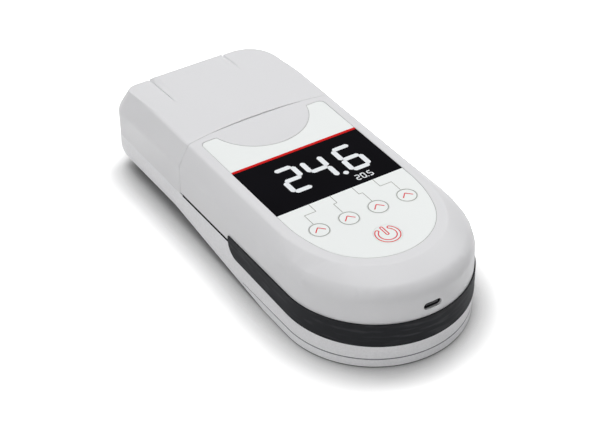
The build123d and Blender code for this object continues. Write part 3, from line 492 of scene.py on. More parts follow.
def close_lid(bm):
    """Bring the lid's rim down on the casing and its front towards the seam, as they sit when shut."""
    on_rim, on_seam = at_height(LID_Z), at_seam(SEAM_R + SEAM_GAP)
    for vert in bm.verts:
        if on_seam(vert.co):
            away = Vector((vert.co.x, vert.co.y - SEAM_CENTRE_Y, 0)).normalized()
            vert.co -= away * (SEAM_GAP - SEAM_SHUT)
        if on_rim(vert.co):
            vert.co.z = PART_Z + RIM_SHUT


print("lid closes by", round(SEAM_GAP - SEAM_SHUT, 2), "and", round(LID_Z - PART_Z - RIM_SHUT, 2))

# %% [markdown]
# The lid's rear corners fall away beside a raised tongue, and a soft crease marks the foot of each fall. The
# falls are in the solid lid. A crease could be a line of colour, but then it would not dent the outline, so
# the skin is cut on both sides of it and the line between is pressed down, deeper towards the rear.

# %% Creases of the lid
LID_REAR_Y = 103.7
DROP_RAMP = 3.0
CREASE_RUN = 8.0
ON_LINE = 0.01
ON_SKIN = 0.1
ACROSS = (1, 0, 0)
ALONG = (0, 1, 0)
# For each corner: its side, the tongue's edge, where the fall starts, its depth at the rear, and the width
# and depth of its crease.
CORNERS = ((-1, -23.0, 71.0, 2.1, 1.1, 0.6), (1, 13.2, 78.0, 2.0, 0.9, 0.9))


def press_creases(bm):
    """Press a soft crease along the foot of each corner that falls away beside the tongue."""
    for side, edge_x, start_y, drop, width, depth in CORNERS:
        foot = edge_x + side * DROP_RAMP
        cut_at(bm, (foot, 0, 0), ACROSS)
        cut_at(bm, (foot + side * width, 0, 0), ACROSS)
        cut_at(bm, (0, start_y + CREASE_RUN / 2, 0), ALONG)
        cut_at(bm, (0, start_y + CREASE_RUN, 0), ALONG)
        for vert in bm.verts:
            run = vert.co.y - start_y
            skin_z = TOP - drop * run / (LID_REAR_Y - start_y)
            if run > 0 and abs(vert.co.x - foot) < ON_LINE and abs(vert.co.z - skin_z) < ON_SKIN:
                vert.co.z -= depth * min(1, run / CREASE_RUN)


print("creases", len(CORNERS))

# %% [markdown]
# Beside its broad right rear corner the real lid is a little slimmer than the solid one. A lattice could
# bend the copy, but would bend the rest of it as well. Here the skin is cut into strips, and its points move
# inwards by an amount that swells and fades along the lid and grows towards its side and its top.

# %% Rear corner of the lid
EASE_FROM = 62
EASE_TO = 104
EASE_STRIP = 4
EASE_IN_X = 12.0
EASE_OUT_X = 34.0
EASE_LOW = 24.0
EASE_HIGH = 40.0
EASE_MOST = 1.6


def share(value, low, high):
    """How far a value is on its way from low to high, between 0 and 1."""
    return min(1, max(0, (value - low) / (high - low)))


def draw_corner_in(bm):
    """Draw the lid's right side in beside its broad rear corner, most at the top."""
    for y in range(EASE_FROM, EASE_TO, EASE_STRIP):
        cut_at(bm, (0, y, 0), ALONG)
    for vert in bm.verts:
        if EASE_FROM < vert.co.y < EASE_TO:
            along = sin(pi * (vert.co.y - EASE_FROM) / (EASE_TO - EASE_FROM))**2
            across = share(vert.co.x, EASE_IN_X, EASE_OUT_X)
            rise = share(vert.co.z, EASE_LOW, EASE_HIGH)
            vert.co.x -= EASE_MOST * along * across * rise


print("corner drawn in by", EASE_MOST)

# %% [markdown]
# The four shells: the upper casing, the lid, the lower casing and the battery cover under it. Each is the
# copy of its solid, with the edges that show rounded. The lower casing's rim is rounded only in front of the
# lid, because behind it the lid rests on it, so its long edges are first cut where the rounding ends.

# %% Shells
SEAM_EDGE_R = 0.2
LID_EDGE_R = 0.25
PART_EDGE_R = 0.4
COVER_EDGE_R = 0.4
SEAM_FOOT_Y = 35.0
RIM_STOP = 0.5
FLOOR_Z = 4.8
COVER_TOP = 4.5


def front_rim(point):
    """Test for a point of the lower casing's rim in front of the lid."""
    return at_height(PART_Z)(point) and point.y < SEAM_FOOT_Y


def shape_lid(bm):
    """Everything that the copy of the lid needs."""
    close_lid(bm)
    press_creases(bm)
    draw_corner_in(bm)


def cut_rim(bm):
    """Cut the lower casing's rim where its rounded part ends."""
    cut_at(bm, (0, SEAM_FOOT_Y - RIM_STOP, 0), ALONG)


def make_shell(node, name, rims, shape=None):
    """One shell: the copy of its node, shaped where that is asked for, with softened rims."""
    bm = copy_of(node)
    if shape:
        shape(bm)
    for on_rim, radius in rims:
        soften(bm, rim_edges(bm, on_rim), radius)
    finish_piece(bm, name, home[node], slot_of[node], (node,))


make_shell("upper_casing", "upper_shell",
           ((at_height(UPPER_Z), PART_EDGE_R), (at_seam(SEAM_R), SEAM_EDGE_R)))
make_shell("lid", "lid_shell", ((at_seam(SEAM_R + SEAM_SHUT), LID_EDGE_R),), shape_lid)
make_shell("lower_casing", "lower_shell",
           ((front_rim, PART_EDGE_R), (at_height(FLOOR_Z), COVER_EDGE_R)), cut_rim)
make_shell("battery_cover", "cover_shell", ((at_height(COVER_TOP), COVER_EDGE_R),))

# %% [markdown]
# Between the two shells the gap along each side is closed by a dark gasket, flush with the skin. It fills the
# rounded edges of the gap as well, so that there its black paints the shade of the gap. The gap is straight
# there, so a long block on each side is enough, and all but its outer face is buried.

# %% Gasket strips, with painted shade
CASING_HALF = 45.7
GASKET_IN = 0.01
GASKET_W = 1.4
# How far the gasket's black reaches over the rounded edges, where it paints the gap's shade.
GASKET_SHADE_OVER = 0.35
GASKET_FROM = -14.0
GASKET_TO = 33.6
bm = bmesh.new()
for side in (-1, 1):
    middle = side * (CASING_HALF - GASKET_IN - GASKET_W / 2)
    place = Matrix.Translation((middle, (GASKET_FROM + GASKET_TO) / 2, (PART_Z + UPPER_Z) / 2))
    size = Matrix.Diagonal((GASKET_W, GASKET_TO - GASKET_FROM, UPPER_Z - PART_Z + 2 * GASKET_SHADE_OVER, 1))
    bmesh.ops.create_cube(bm, size=1.0, matrix=place @ size)
finish_piece(bm, "gasket_and_shade_strips", "casing", "gasket_and_gap_shade")

# %% [markdown]
# The joint between the lower shell and the cover under it is lined in the same way with a thin ribbon of mid
# grey, which paints the shade in that gap. This gap runs round the front, so a block would not follow it. The
# ribbon is drawn from the cover's own upper rim, which is pushed up into a band and given a thickness.

# %% Painted shade round the cover
SHADE_RIBBON_UNDER = 0.04
SHADE_RIBBON_OVER = 0.3
SHADE_RIBBON_IN = 0.02
SHADE_RIBBON_T = 0.5
bm = copy_of("battery_cover")
rim = set(rim_edges(bm, at_height(COVER_TOP)))
bmesh.ops.delete(bm, geom=[edge for edge in bm.edges if edge not in rim], context="EDGES")
bmesh.ops.delete(bm, geom=[vert for vert in bm.verts if not vert.link_edges], context="VERTS")
bmesh.ops.translate(bm, vec=(0, 0, SHADE_RIBBON_UNDER), verts=bm.verts)
tops = new_verts(bmesh.ops.extrude_edge_only(bm, edges=bm.edges[:])["geom"])
bmesh.ops.translate(bm, vec=(0, 0, FLOOR_Z + SHADE_RIBBON_OVER - COVER_TOP - SHADE_RIBBON_UNDER), verts=tops)
for face in bm.faces:
    if face.normal.dot(face.calc_center_median() - HEART) < 0:
        face.normal_flip()
bm.normal_update()
for vert in bm.verts:
    vert.co -= vert.normal * SHADE_RIBBON_IN
bmesh.ops.solidify(bm, geom=bm.faces[:], thickness=SHADE_RIBBON_T)
finish_piece(bm, "cover_shade_ribbon", "casing", "cover_gap_shade")

# %% [markdown]
# The grip band is one rubber ring round the head. The solid band has the rounded edges of moulded rubber, so
# the copy only has to be one skin, on which they shade round.

# %% Grip band
finish_piece(copy_of("grip_band"), "grip_sleeve", home["grip_band"], "band_rubber",
             ("grip_band",))

# %% [markdown]
# Flat shapes could be curves with a width, which then have to be turned into meshes. A pen makes the mesh
# at once: it is an edge as wide as the stroke, pushed along and spun round a corner. Each push or turn
# leaves a face behind, as a roller leaves paint, so lines, arcs and rings all come from the same few moves.

# %% The pen
TURN_STEP = 9


class Pen:
    """An edge as wide as a stroke, that is pushed and turned over a level."""

    def __init__(self, bm, point, heading, width, level):
        self.bm = bm
        self.heading = radians(heading)
        self.place = Vector((point[0], point[1], level))
        self.width = width
        across = self.left() * (width / 2)
        ends = [bm.verts.new(self.place + across), bm.verts.new(self.place - across)]
        self.edge = bm.edges.new(ends)

    def left(self):
        """Unit step to the left of the heading."""
        return Vector((-sin(self.heading), cos(self.heading), 0))

    def run(self, length):
        """Push the stroke straight on."""
        step = Vector((cos(self.heading), sin(self.heading), 0)) * length
        ends = new_verts(bmesh.ops.extrude_edge_only(self.bm, edges=[self.edge])["geom"])
        bmesh.ops.translate(self.bm, vec=step, verts=ends)
        self.edge = next(edge for edge in ends[0].link_edges if edge.other_vert(ends[0]) is ends[1])
        self.place += step
        return self

    def turn(self, angle, radius=None, steps=None):
        """Spin the stroke to the left (plus) or right (minus) on a radius at its middle."""
        side = 1 if angle > 0 else -1
        reach = self.width / 2 if radius is None else radius
        centre = self.place + self.left() * side * reach
        count = steps or max(2, round(abs(angle) / TURN_STEP))
        made = bmesh.ops.spin(self.bm, geom=[self.edge], cent=centre, axis=(0, 0, 1), dvec=(0, 0, 0),
                              angle=radians(angle), steps=count, use_merge=False, use_duplicate=False)
        self.edge = next(item for item in made["geom_last"] if isinstance(item, bmesh.types.BMEdge))
        self.heading += radians(angle)
        self.place = centre - self.left() * side * reach
        return self


print("the pen turns in steps of about", TURN_STEP, "degrees")

# %% [markdown]
# A filled shape with a curved outline is cut with a knife: a point that is carried along the outline and
# leaves an edge behind at every step. The outline is then filled, and a flat drawing is raised into a layer,
# because a surface without a thickness has no edge to catch the light.

# %% The knife and the layers
CIRCLE_STEPS = 64
LAYER_ANGLE = radians(60)


class Knife:
    """A point that is carried along an outline, and leaves edges behind."""

    def __init__(self, bm, x, y, level):
        self.bm = bm
        self.tip = bm.verts.new((x, y, level))

    def line(self, x, y):
        """Cut straight to a point."""
        self.tip = bmesh.ops.extrude_vert_indiv(self.bm, verts=[self.tip])["verts"][0]
        self.tip.co = (x, y, self.tip.co.z)

    def arc(self, x, y, angle, steps):
        """Cut an arc round a centre."""
        made = bmesh.ops.spin(self.bm, geom=[self.tip], cent=(x, y, self.tip.co.z), axis=(0, 0, 1),
                              dvec=(0, 0, 0), angle=radians(angle), steps=steps, use_merge=False,
                              use_duplicate=False)
        self.tip = new_verts(made["geom_last"])[0]


def punch(bm, x, y, radius, level):
    """Add a round hole's outline."""
    bmesh.ops.create_circle(bm, cap_ends=False, radius=radius, segments=CIRCLE_STEPS,
                            matrix=Matrix.Translation((x, y, level)))


def fill_outline(bm):
    """Close the outlines and fill between them. An outline inside another leaves a hole."""
    bmesh.ops.remove_doubles(bm, verts=bm.verts, dist=NEAR)
    bmesh.ops.triangle_fill(bm, use_beauty=True, use_dissolve=False, edges=bm.edges, normal=(0, 0, 1))


def thicken(bm, amount):
    """Raise a flat drawing into a layer."""
    outward(bm)
    for face in bm.faces:
        if face.normal.z < 0:
            face.normal_flip()
    tops = new_verts(bmesh.ops.extrude_face_region(bm, geom=bm.faces[:], use_keep_orig=True)["geom"])
    bmesh.ops.translate(bm, vec=(0, 0, amount), verts=tops)
    outward(bm)


def top_rim(bm, level):
    """Edges between a layer's top and its sides."""
    return [edge for edge in bm.edges if len(edge.link_faces) == 2
            and all(abs(vert.co.z - level) < NEAR for vert in edge.verts)
            and edge.calc_face_angle(0) > LAYER_ANGLE]


print("circles have", CIRCLE_STEPS, "steps")

# %% [markdown]
# The face sheet is a film on a grey bed, in a recess 0.3 mm deep, and the display window splits it in two.
# The rear half is bitten by the round thumb rest. The front half narrows in three arcs that run smoothly into
# each other: two wide ones along the sides and a small one round the nose. The nose's radius follows from
# that, so it is worked out and not typed in.

# %% Outline of the face sheet
FACE_HALF = 34.5
FACE_REAR_Y = 34.7
FACE_NOSE_START = -39.9
FACE_NOSE_Y = -85.2
FACE_ARC = 70.0
FACE_CORNER = 3.0
WINDOW_REAR_Y = 5.0
WINDOW_FRONT_Y = -33.6
SCOOP_R = 26.0
CORNER_STEPS = 8
SIDE_STEPS = 24
ROUND_STEPS = 48


def nose_arcs(gap):
    """Side radius, nose radius and turn of the face sheet's front, with a gap all round."""
    side_r = FACE_ARC - gap
    inset = FACE_HALF - gap - side_r
    reach = FACE_NOSE_Y + gap - FACE_NOSE_START
    nose_r = (side_r**2 - inset**2 - reach**2) / (2 * (reach + side_r))
    turn = degrees(atan2(FACE_NOSE_START - FACE_NOSE_Y - gap - nose_r, -inset))
    return side_r, nose_r, turn


def rear_outline(bm, gap, level):
    """The part of the face sheet behind the window, bitten by the thumb rest."""
    half = FACE_HALF - gap
    rear = FACE_REAR_Y - gap
    bite = SCOOP_R + gap
    fall = SEAM_Y - rear
    bite_x = (bite**2 - fall**2)**0.5
    sweep = 180 - 2 * degrees(atan2(fall, bite_x))
    knife = Knife(bm, half, WINDOW_REAR_Y, level)
    knife.line(half, rear - FACE_CORNER)
    knife.arc(half - FACE_CORNER, rear - FACE_CORNER, 90, CORNER_STEPS)
    knife.line(bite_x, rear)
    knife.arc(0, SEAM_Y, -sweep, ROUND_STEPS)
    knife.line(FACE_CORNER - half, rear)
    knife.arc(FACE_CORNER - half, rear - FACE_CORNER, 90, CORNER_STEPS)
    knife.line(-half, WINDOW_REAR_Y)
    knife.line(half, WINDOW_REAR_Y)


def nose_outline(bm, gap, level):
    """The part of the face sheet in front of the window, down to its round nose."""
    half = FACE_HALF - gap
    side_r, nose_r, turn = nose_arcs(gap)
    knife = Knife(bm, half, WINDOW_FRONT_Y, level)
    knife.line(half, FACE_NOSE_START)
    knife.arc(half - side_r, FACE_NOSE_START, -turn, SIDE_STEPS)
    knife.arc(0, FACE_NOSE_Y + gap + nose_r, 2 * turn - 180, ROUND_STEPS)
    knife.arc(side_r - half, FACE_NOSE_START, -turn, SIDE_STEPS)
    knife.line(-half, WINDOW_FRONT_Y)
    knife.line(half, WINDOW_FRONT_Y)


print("nose radius", round(nose_arcs(0)[1], 2))

# %% [markdown]
# The film is cut a little smaller than the recess. The grey bed under it is not, so the thin line that shows
# all round the sheet is the grey of the bed, and not a black gap: painted shade, standing in for the shade in
# that gap. The front half has a hole for each key.

# %% Face sheet
PRINT_T = 0.03
SHEET_TOP = TOP - PRINT_T
SHEET_T = 0.22
SHEET_BASE = SHEET_TOP - SHEET_T
SHEET_GAP = 0.28
SHEET_EDGE_R = 0.05
BED_GAP = 0.03
BED_LOW = 45.91
BED_T = 0.03
KEY_Y = -52.1
KEY_R = 4.7
KEY_GAP = 0.3
KEY_PITCH = 15.8
KEY_XS = [step * KEY_PITCH for step in (-1.5, -0.5, 0.5, 1.5)]
POWER_Y = -70.9
POWER_R = 6.35


def front_outline(bm, gap, level):
    """The front half of the sheet with its key holes."""
    nose_outline(bm, gap, level)
    for x in KEY_XS:
        punch(bm, x, KEY_Y, KEY_R + KEY_GAP, level)
    punch(bm, 0, POWER_Y, POWER_R + KEY_GAP, level)


def lay_shade_bed(outline, name):
    """The grey bed under one half of the sheet, whose grey paints the shade in the gap round it."""
    bm = bmesh.new()
    outline(bm, BED_GAP, BED_LOW)
    fill_outline(bm)
    thicken(bm, BED_T)
    finish_piece(bm, name, "casing", "sheet_gap_shade")


def lay_film(outline, name, node):
    """One half of the sheet, with an eased edge."""
    bm = bmesh.new()
    outline(bm, SHEET_GAP, SHEET_BASE)
    fill_outline(bm)
    thicken(bm, SHEET_T)
    soften(bm, top_rim(bm, SHEET_TOP), SHEET_EDGE_R)
    finish_piece(bm, name, "casing", "face_white", (node,))


for end, outline, node in (("rear", rear_outline, "rear_label"), ("front", front_outline, "key_label")):
    lay_shade_bed(outline, end + "_bed")
    lay_film(outline, end + "_sheet", node)

# %% [markdown]
# The window is one polished pane between the two halves of the sheet. It is a block of its own, and not a
# black area of the film, because a pane mirrors its surroundings and a film does not.

# %% Window
WINDOW_T = 1.2
WINDOW_HALF = FACE_HALF - SHEET_GAP
bm = bmesh.new()
knife = Knife(bm, WINDOW_HALF, WINDOW_FRONT_Y, TOP - WINDOW_T)
for side, y in ((1, WINDOW_REAR_Y), (-1, WINDOW_REAR_Y), (-1, WINDOW_FRONT_Y), (1, WINDOW_FRONT_Y)):
    knife.line(side * WINDOW_HALF, y)
fill_outline(bm)
thicken(bm, WINDOW_T - PRINT_T)
soften(bm, top_rim(bm, SHEET_TOP), SHEET_EDGE_R)
finish_piece(bm, "window_pane", "casing", "window_black", ("display_window",))

# %% [markdown]
# The display shows a plain reading in bar digits, and a smaller one under it, such as a liquid crystal
# display gives. A typeface would have the wrong shapes, because a display has only seven bars for a digit.
# Each bar is one stroke of the pen with its four corners cut, and letters from a to g name the bars.

# %% Digits
BARS = {"0": "abcdef", "2": "abged", "4": "fgbc", "5": "afgcd", "6": "afgedc"}
DIGIT_WIDTH = 0.52       # of a digit's height, and the values below are parts of a stroke
BAR_SHORT = 0.25
BAR_NUDGE = 0.12
DIGIT_SPACE = 1.9
POINT_BACK = 0.9
POINT_SPACE = 1.1
# For each reading: the piece's name, what it says, its lower left corner, height, stroke and corner cut.
READINGS = (("reading_digits", "24.6", -17.5, -22.5, 18.0, 2.7, 0.9),
            ("small_digits", "20.5", 12.0, -30.4, 3.6, 0.6, 0.18))


def draw_digit(bm, digit, x, y, height, stroke):
    """One digit of seven bars, with its lower left corner at x, y."""
    width = height * DIGIT_WIDTH
    mid = height / 2
    bar = mid - stroke * BAR_SHORT
    flat = width - stroke * BAR_SHORT
    starts = {"a": (x, y + height, 0, flat), "g": (x, y + mid, 0, flat), "d": (x, y, 0, flat),
              "b": (x + width, y + mid, 90, bar), "c": (x + width, y, 90, bar),
              "f": (x, y + mid, 90, bar), "e": (x, y, 90, bar)}
    for name in BARS[digit]:
        bar_x, bar_y, heading, length = starts[name]
        nudge = stroke * BAR_NUDGE
        shift = (nudge, 0) if heading == 0 else (0, nudge)
        Pen(bm, (bar_x + shift[0], bar_y + shift[1]), heading, stroke, SHEET_TOP).run(length)


def draw_reading(bm, text, x, y, height, stroke):
    """A row of digits, with a point where the text has one."""
    for mark in text:
        if mark == ".":
            Pen(bm, (x - stroke * POINT_BACK, y), 0, stroke, SHEET_TOP).run(stroke)
            x += stroke * POINT_SPACE
        else:
            draw_digit(bm, mark, x, y, height, stroke)
            x += height * DIGIT_WIDTH + stroke * DIGIT_SPACE


def cut_corners(bm, amount):
    """Cut the four corners of each bar."""
    bmesh.ops.bevel(bm, geom=bm.verts[:], offset=amount, offset_type="OFFSET", segments=1, profile=0.5,
                    affect="VERTICES", material=-1, clamp_overlap=True)


for name, text, x, y, height, stroke, corner in READINGS:
    bm = bmesh.new()
    draw_reading(bm, text, x, y, height, stroke)
    cut_corners(bm, corner)
    thicken(bm, PRINT_T)
    finish_piece(bm, name, "casing", "digit_white")

# %% [markdown]
# A red line is printed along the window's rear edge, and thin grey lines lead from its front edge to the
# keys. All are strokes of the pen. Ink could be a mask in the sheet's material, but a layer keeps a clean
# edge at any distance.

# %% Printed lines
LINE_Y = 5.4
LINE_W = 1.6
LEAD_W = 0.32
LEAD_END_Y = -47.0
# For each pair of lines: where they leave the window, the level of their bend, and the key that they reach.
LEADS = ((17.5, -39.8, KEY_XS[3]), (6.0, -39.6, KEY_XS[2]))
bm = bmesh.new()
Pen(bm, (-WINDOW_HALF, LINE_Y), 0, LINE_W, SHEET_TOP).run(2 * WINDOW_HALF)
thicken(bm, PRINT_T)
finish_piece(bm, "red_line", "casing", "ink_red")


def draw_lead(bm, side, start_x, bend_y, end_x):
    """A line from the window to a key, with two square bends."""
    pen = Pen(bm, (side * start_x, WINDOW_FRONT_Y), -90, LEAD_W, SHEET_TOP)
    pen.run(WINDOW_FRONT_Y - bend_y - LEAD_W / 2).turn(90 * side)
    pen.run(end_x - start_x - LEAD_W).turn(-90 * side)
    pen.run(bend_y - LEAD_END_Y - LEAD_W / 2)


bm = bmesh.new()
for side in (-1, 1):
    for start_x, bend_y, end_x in LEADS:
        draw_lead(bm, side, start_x, bend_y, end_x)
thicken(bm, PRINT_T)
finish_piece(bm, "lead_lines", "casing", "ink_grey")

# %% [markdown]
# Each key is a flat cap with a flange that keeps it under the casing. A cylinder would need its flange and
# eased edge added one by one, so the cap is turned: half its section is drawn and spun about the key's axis.

# %% Key caps
KEY_TOP = SHEET_TOP
FLANGE_TOP = 43.3
FLANGE_LOW = 42.4
FLANGE = 1.1
CAP_GROW = 0.2
CAP_LOW = 0.5
CAP_STEP = 0.1
CAP_EASE = 0.12
EASE_MIDDLE = 0.3        # of the eased edge: how far in a round corner lies at its middle


def lathe(bm, x, y, profile):
    """Turn a half section, given as radius and height, about an upright axis."""
    verts = [bm.verts.new((x + radius, y, height)) for radius, height in profile]
    edges = [bm.edges.new(pair) for pair in zip(verts, verts[1:])]
    bmesh.ops.spin(bm, geom=verts + edges, cent=(x, y, 0), axis=(0, 0, 1), dvec=(0, 0, 0),
                   angle=radians(360), steps=CIRCLE_STEPS, use_merge=True, use_duplicate=False)


def make_key(node, x, y, radius):
    """One key cap."""
    grown = radius + CAP_GROW
    bend = CAP_EASE * EASE_MIDDLE
    bm = bmesh.new()
    lathe(bm, x, y, [(0, FLANGE_LOW), (radius + FLANGE, FLANGE_LOW), (radius + FLANGE, FLANGE_TOP),
                     (radius, FLANGE_TOP), (radius, KEY_TOP - CAP_LOW), (grown, KEY_TOP - CAP_LOW + CAP_STEP),
                     (grown, KEY_TOP - CAP_EASE), (grown - bend, KEY_TOP - bend),
                     (grown - CAP_EASE, KEY_TOP), (0, KEY_TOP)])
    outward(bm)
    finish_piece(bm, node + "_cap", home[node], "face_white", (node,))


# %% [markdown]
# The ring and the mark on a key are printed on it. They are pieces of their own that ride on the key's body,
# and not on the casing's, so they sink with it.

# %% Keys
RING_W = 0.42
MARK_W = 0.55
CHEVRON_HALF = 2.6
CHEVRON_RISE = 2.7
CHEVRON_LOW = 1.0
CHEVRON_ARM = 3.6


def print_ring(node, x):
    """The ring along the edge of a key."""
    bm = bmesh.new()
    ring_r = KEY_R + CAP_GROW - CAP_EASE - RING_W / 2
    Pen(bm, (x + ring_r, KEY_Y), 90, RING_W, KEY_TOP).turn(360, ring_r, CIRCLE_STEPS)
    thicken(bm, PRINT_T)
    finish_piece(bm, node + "_ring", home[node], "ink_grey")


def print_chevron(node, x):
    """The chevron on a key."""
    bm = bmesh.new()
    slope = degrees(atan2(CHEVRON_RISE, CHEVRON_HALF))
    pen = Pen(bm, (x - CHEVRON_HALF, KEY_Y - CHEVRON_LOW), slope, MARK_W, KEY_TOP)
    pen.run(CHEVRON_ARM).turn(-2 * slope).run(CHEVRON_ARM)
    thicken(bm, PRINT_T)
    finish_piece(bm, node + "_mark", home[node], "ink_rose")


for number, x in enumerate(KEY_XS, start=1):
    node = f"key_{number}"
    make_key(node, x, KEY_Y, KEY_R)
    print_ring(node, x)
    print_chevron(node, x)

# %% [markdown]
# The power key has the usual sign: a ring that is open at the top and a bar in the gap. On this meter both
# are drawn in outline, so the pen goes round each of them once, with a tight turn at the ends.

# %% Power key
OUTER_R = 5.75
INNER_R = 4.15
OPEN = 40
RING_STEPS = 56
END_STEPS = 12
BAR_R = 0.62
BAR_L = 5.0
BAR_TOP = 5.2
make_key("power_key", 0, POWER_Y, POWER_R)

bm = bmesh.new()
start = radians(90 - OPEN)
end_r = (OUTER_R - INNER_R) / 2
pen = Pen(bm, (OUTER_R * cos(start), POWER_Y + OUTER_R * sin(start)), -OPEN, MARK_W, KEY_TOP)
pen.turn(2 * OPEN - 360, OUTER_R, RING_STEPS).turn(-180, end_r, END_STEPS)
pen.turn(360 - 2 * OPEN, INNER_R, RING_STEPS).turn(-180, end_r, END_STEPS)
thicken(bm, PRINT_T)
finish_piece(bm, "power_ring", "power_key", "ink_rose")

bm = bmesh.new()
pen = Pen(bm, (BAR_R, POWER_Y + BAR_TOP), -90, MARK_W, KEY_TOP)
for bend in range(2):
    pen.run(BAR_L).turn(-180, BAR_R, END_STEPS)
thicken(bm, PRINT_T)
finish_piece(bm, "power_bar", "power_key", "ink_rose")

# %% [markdown]
# The other parts are copied as single skins too, where they show, so that round parts shade round. The rest
# stay as they are in the model, since nobody sees their shading, and get their finish.

# %% Other parts
for node in ("sample_well", "chamber_deck", "light_baffle", "well_cushion", "lid_magnets", "catch_magnets",
             "hinge_pin", "usb_socket", "deck_screws", "casing_screws", "rear_feet", "front_feet"):
    finish_piece(copy_of(node), node + "_skin", home[node], slot_of[node], (node,))

for node, thing in nodes.items():
    for slot in thing.material_slots:
        slot.material = finishes[slot_of[node]]
print("nodes with a finish", len(nodes))

# %% [markdown]
# The studio is a plain pale floor under five wide soft lamps: one on the right, one overhead, and weaker
# ones on the left, in front and behind, so that every side is lit and the shadow stays close. More light
# would whiten the background, but the meter with it. So the background is made white by the light path, for
# the camera and in reflections only, and the light on the meter stays plain.

# %% Sky
SKY = 0.04


def seen(tree):
    """1 where a ray comes from the camera, from gloss or through glass, else 0."""
    path = tree.nodes.new("ShaderNodeLightPath").outputs
    straight = math_at(tree, "MAXIMUM", path["Is Camera Ray"], path["Is Glossy Ray"])
    return math_at(tree, "MAXIMUM", straight, path["Is Transmission Ray"])


def make_sky():
    """Even light from all round, white where it is seen."""
    world = bpy.context.scene.world or bpy.data.worlds.new("sky")
    bpy.context.scene.world = world
    world.use_nodes = True
    tree = world.node_tree
    ground = tree.nodes["Background"]
    ground.inputs["Color"].default_value = (1, 1, 1, 1)
    strength = node_at(tree, "ShaderNodeMix", data_type="FLOAT")
    strength.inputs["A"].default_value = SKY
    strength.inputs["B"].default_value = 1.0
    tree.links.new(seen(tree), strength.inputs["Factor"])
    tree.links.new(strength.outputs["Result"], ground.inputs["Strength"])


make_sky()
print("sky", SKY)

# %% [markdown]
# A plain floor would render grey. To the camera this one is brighter than its paint, so it is white where
# nothing shades it, and it darkens in the narrow gap under the meter, where a contact shadow belongs. Away
# from the meter it is seen through, so that it ends in the white of the sky, without a horizon.

# %% Floor
FLOOR_HALF = 3.0         # metres, as are the reaches and fades below
FLOOR_COLOUR = 0.9
FLOOR_ROUGH = 0.9
FLOOR_LIFT = 0.8
CONTACT_REACH = 0.027
CONTACT_DEPTH = 1.5
CONTACT_SAMPLES = 16
FADE_FROM = 0.35
FADE_TO = 0.6


def contact_shade(tree):
    """1 on the open floor, less where the meter is close above it."""
    near = node_at(tree, "ShaderNodeAmbientOcclusion", samples=CONTACT_SAMPLES)
    near.inputs["Distance"].default_value = CONTACT_REACH
    return math_at(tree, "POWER", near.outputs["AO"], CONTACT_DEPTH)


def to_the_eye(tree, view, grey, shown):
    """A grey for the light's own bounces, and what is shown where a ray is seen."""
    mix = node_at(tree, "ShaderNodeMix", data_type="RGBA")
    mix.inputs["A"].default_value = (grey, grey, grey, 1)
    tree.links.new(shown, mix.inputs["B"])
    tree.links.new(view, mix.inputs["Factor"])
    return mix.outputs["Result"]


def far_away(tree):
    """0 near the meter, 1 on the far floor."""
    where = tree.nodes.new("ShaderNodeTexCoord")
    away = node_at(tree, "ShaderNodeVectorMath", operation="LENGTH")
    fade = node_at(tree, "ShaderNodeMapRange")
    fade.inputs["From Min"].default_value = FADE_FROM
    fade.inputs["From Max"].default_value = FADE_TO
    tree.links.new(where.outputs["Object"], away.inputs[0])
    tree.links.new(away.outputs["Value"], fade.inputs["Value"])
    return fade.outputs[0]


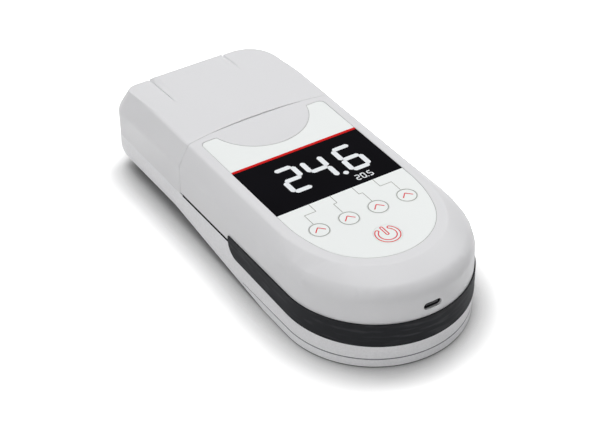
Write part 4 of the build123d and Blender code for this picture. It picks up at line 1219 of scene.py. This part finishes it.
def floor_paint():
    """Pale paint that keeps the shadow, white where nothing shades it, and clear far away."""
    paint = bpy.data.materials.new("studio_floor")
    paint.use_nodes = True
    tree = paint.node_tree
    view = seen(tree)
    shade = contact_shade(tree)
    base = tree.nodes["Principled BSDF"]
    base.inputs["Roughness"].default_value = FLOOR_ROUGH
    base.inputs["Specular IOR Level"].default_value = 0.0
    lift = node_at(tree, "ShaderNodeBsdfDiffuse")
    both = node_at(tree, "ShaderNodeAddShader")
    clear = node_at(tree, "ShaderNodeBsdfTransparent")
    whole = node_at(tree, "ShaderNodeMixShader")
    lifted = math_at(tree, "MULTIPLY", shade, FLOOR_LIFT)
    gone = math_at(tree, "MULTIPLY", far_away(tree), view)
    tree.links.new(to_the_eye(tree, view, FLOOR_COLOUR, shade), base.inputs["Base Color"])
    tree.links.new(to_the_eye(tree, view, 0, lifted), lift.inputs["Color"])
    tree.links.new(base.outputs[0], both.inputs[0])
    tree.links.new(lift.outputs[0], both.inputs[1])
    tree.links.new(gone, whole.inputs["Fac"])
    tree.links.new(both.outputs[0], whole.inputs[1])
    tree.links.new(clear.outputs[0], whole.inputs[2])
    tree.links.new(whole.outputs[0], tree.nodes["Material Output"].inputs["Surface"])
    return paint


def make_floor():
    """Wide flat floor under the meter."""
    bm = bmesh.new()
    bmesh.ops.create_grid(bm, x_segments=8, y_segments=8, size=FLOOR_HALF)
    mesh = bpy.data.meshes.new("floor")
    bm.to_mesh(mesh)
    bm.free()
    mesh.materials.append(floor_paint())
    floor = bpy.data.objects.new("floor", mesh)
    bpy.context.collection.objects.link(floor)


make_floor()
print("floor", 2 * FLOOR_HALF, "m wide")

# %% [markdown]
# The lamps are large squares, so that the shadows have soft edges. A bare sun would draw them hard, which
# the photograph does not show.

# %% Lamps
MIDDLE = Vector((0, 0, 0))
# For each lamp: its name, place in metres, width in metres and power in watts.
LAMPS = (("right_lamp", (0.9, 0.3, 1.0), 0.8, 6.2),
         ("top_lamp", (0.0, 0.2, 1.4), 1.0, 10.1),
         ("left_lamp", (-1.0, -0.6, 0.6), 1.0, 4.2),
         ("front_lamp", (0.1, -1.2, 0.6), 1.0, 1.2),
         ("rear_lamp", (-0.4, 1.0, 0.9), 1.0, 3.2))


def make_lamp(name, place, size, watts):
    """Square soft lamp at a place, turned to the meter."""
    data = bpy.data.lights.new(name, "AREA")
    data.shape = "SQUARE"
    data.size = size
    data.energy = watts
    lamp = bpy.data.objects.new(name, data)
    lamp.location = place
    lamp.visible_camera = False
    lamp.rotation_euler = (MIDDLE - Vector(place)).to_track_quat("-Z", "Y").to_euler()
    bpy.context.collection.objects.link(lamp)


for name, place, size, watts in LAMPS:
    make_lamp(name, place, size, watts)
print("lamps", len(LAMPS))
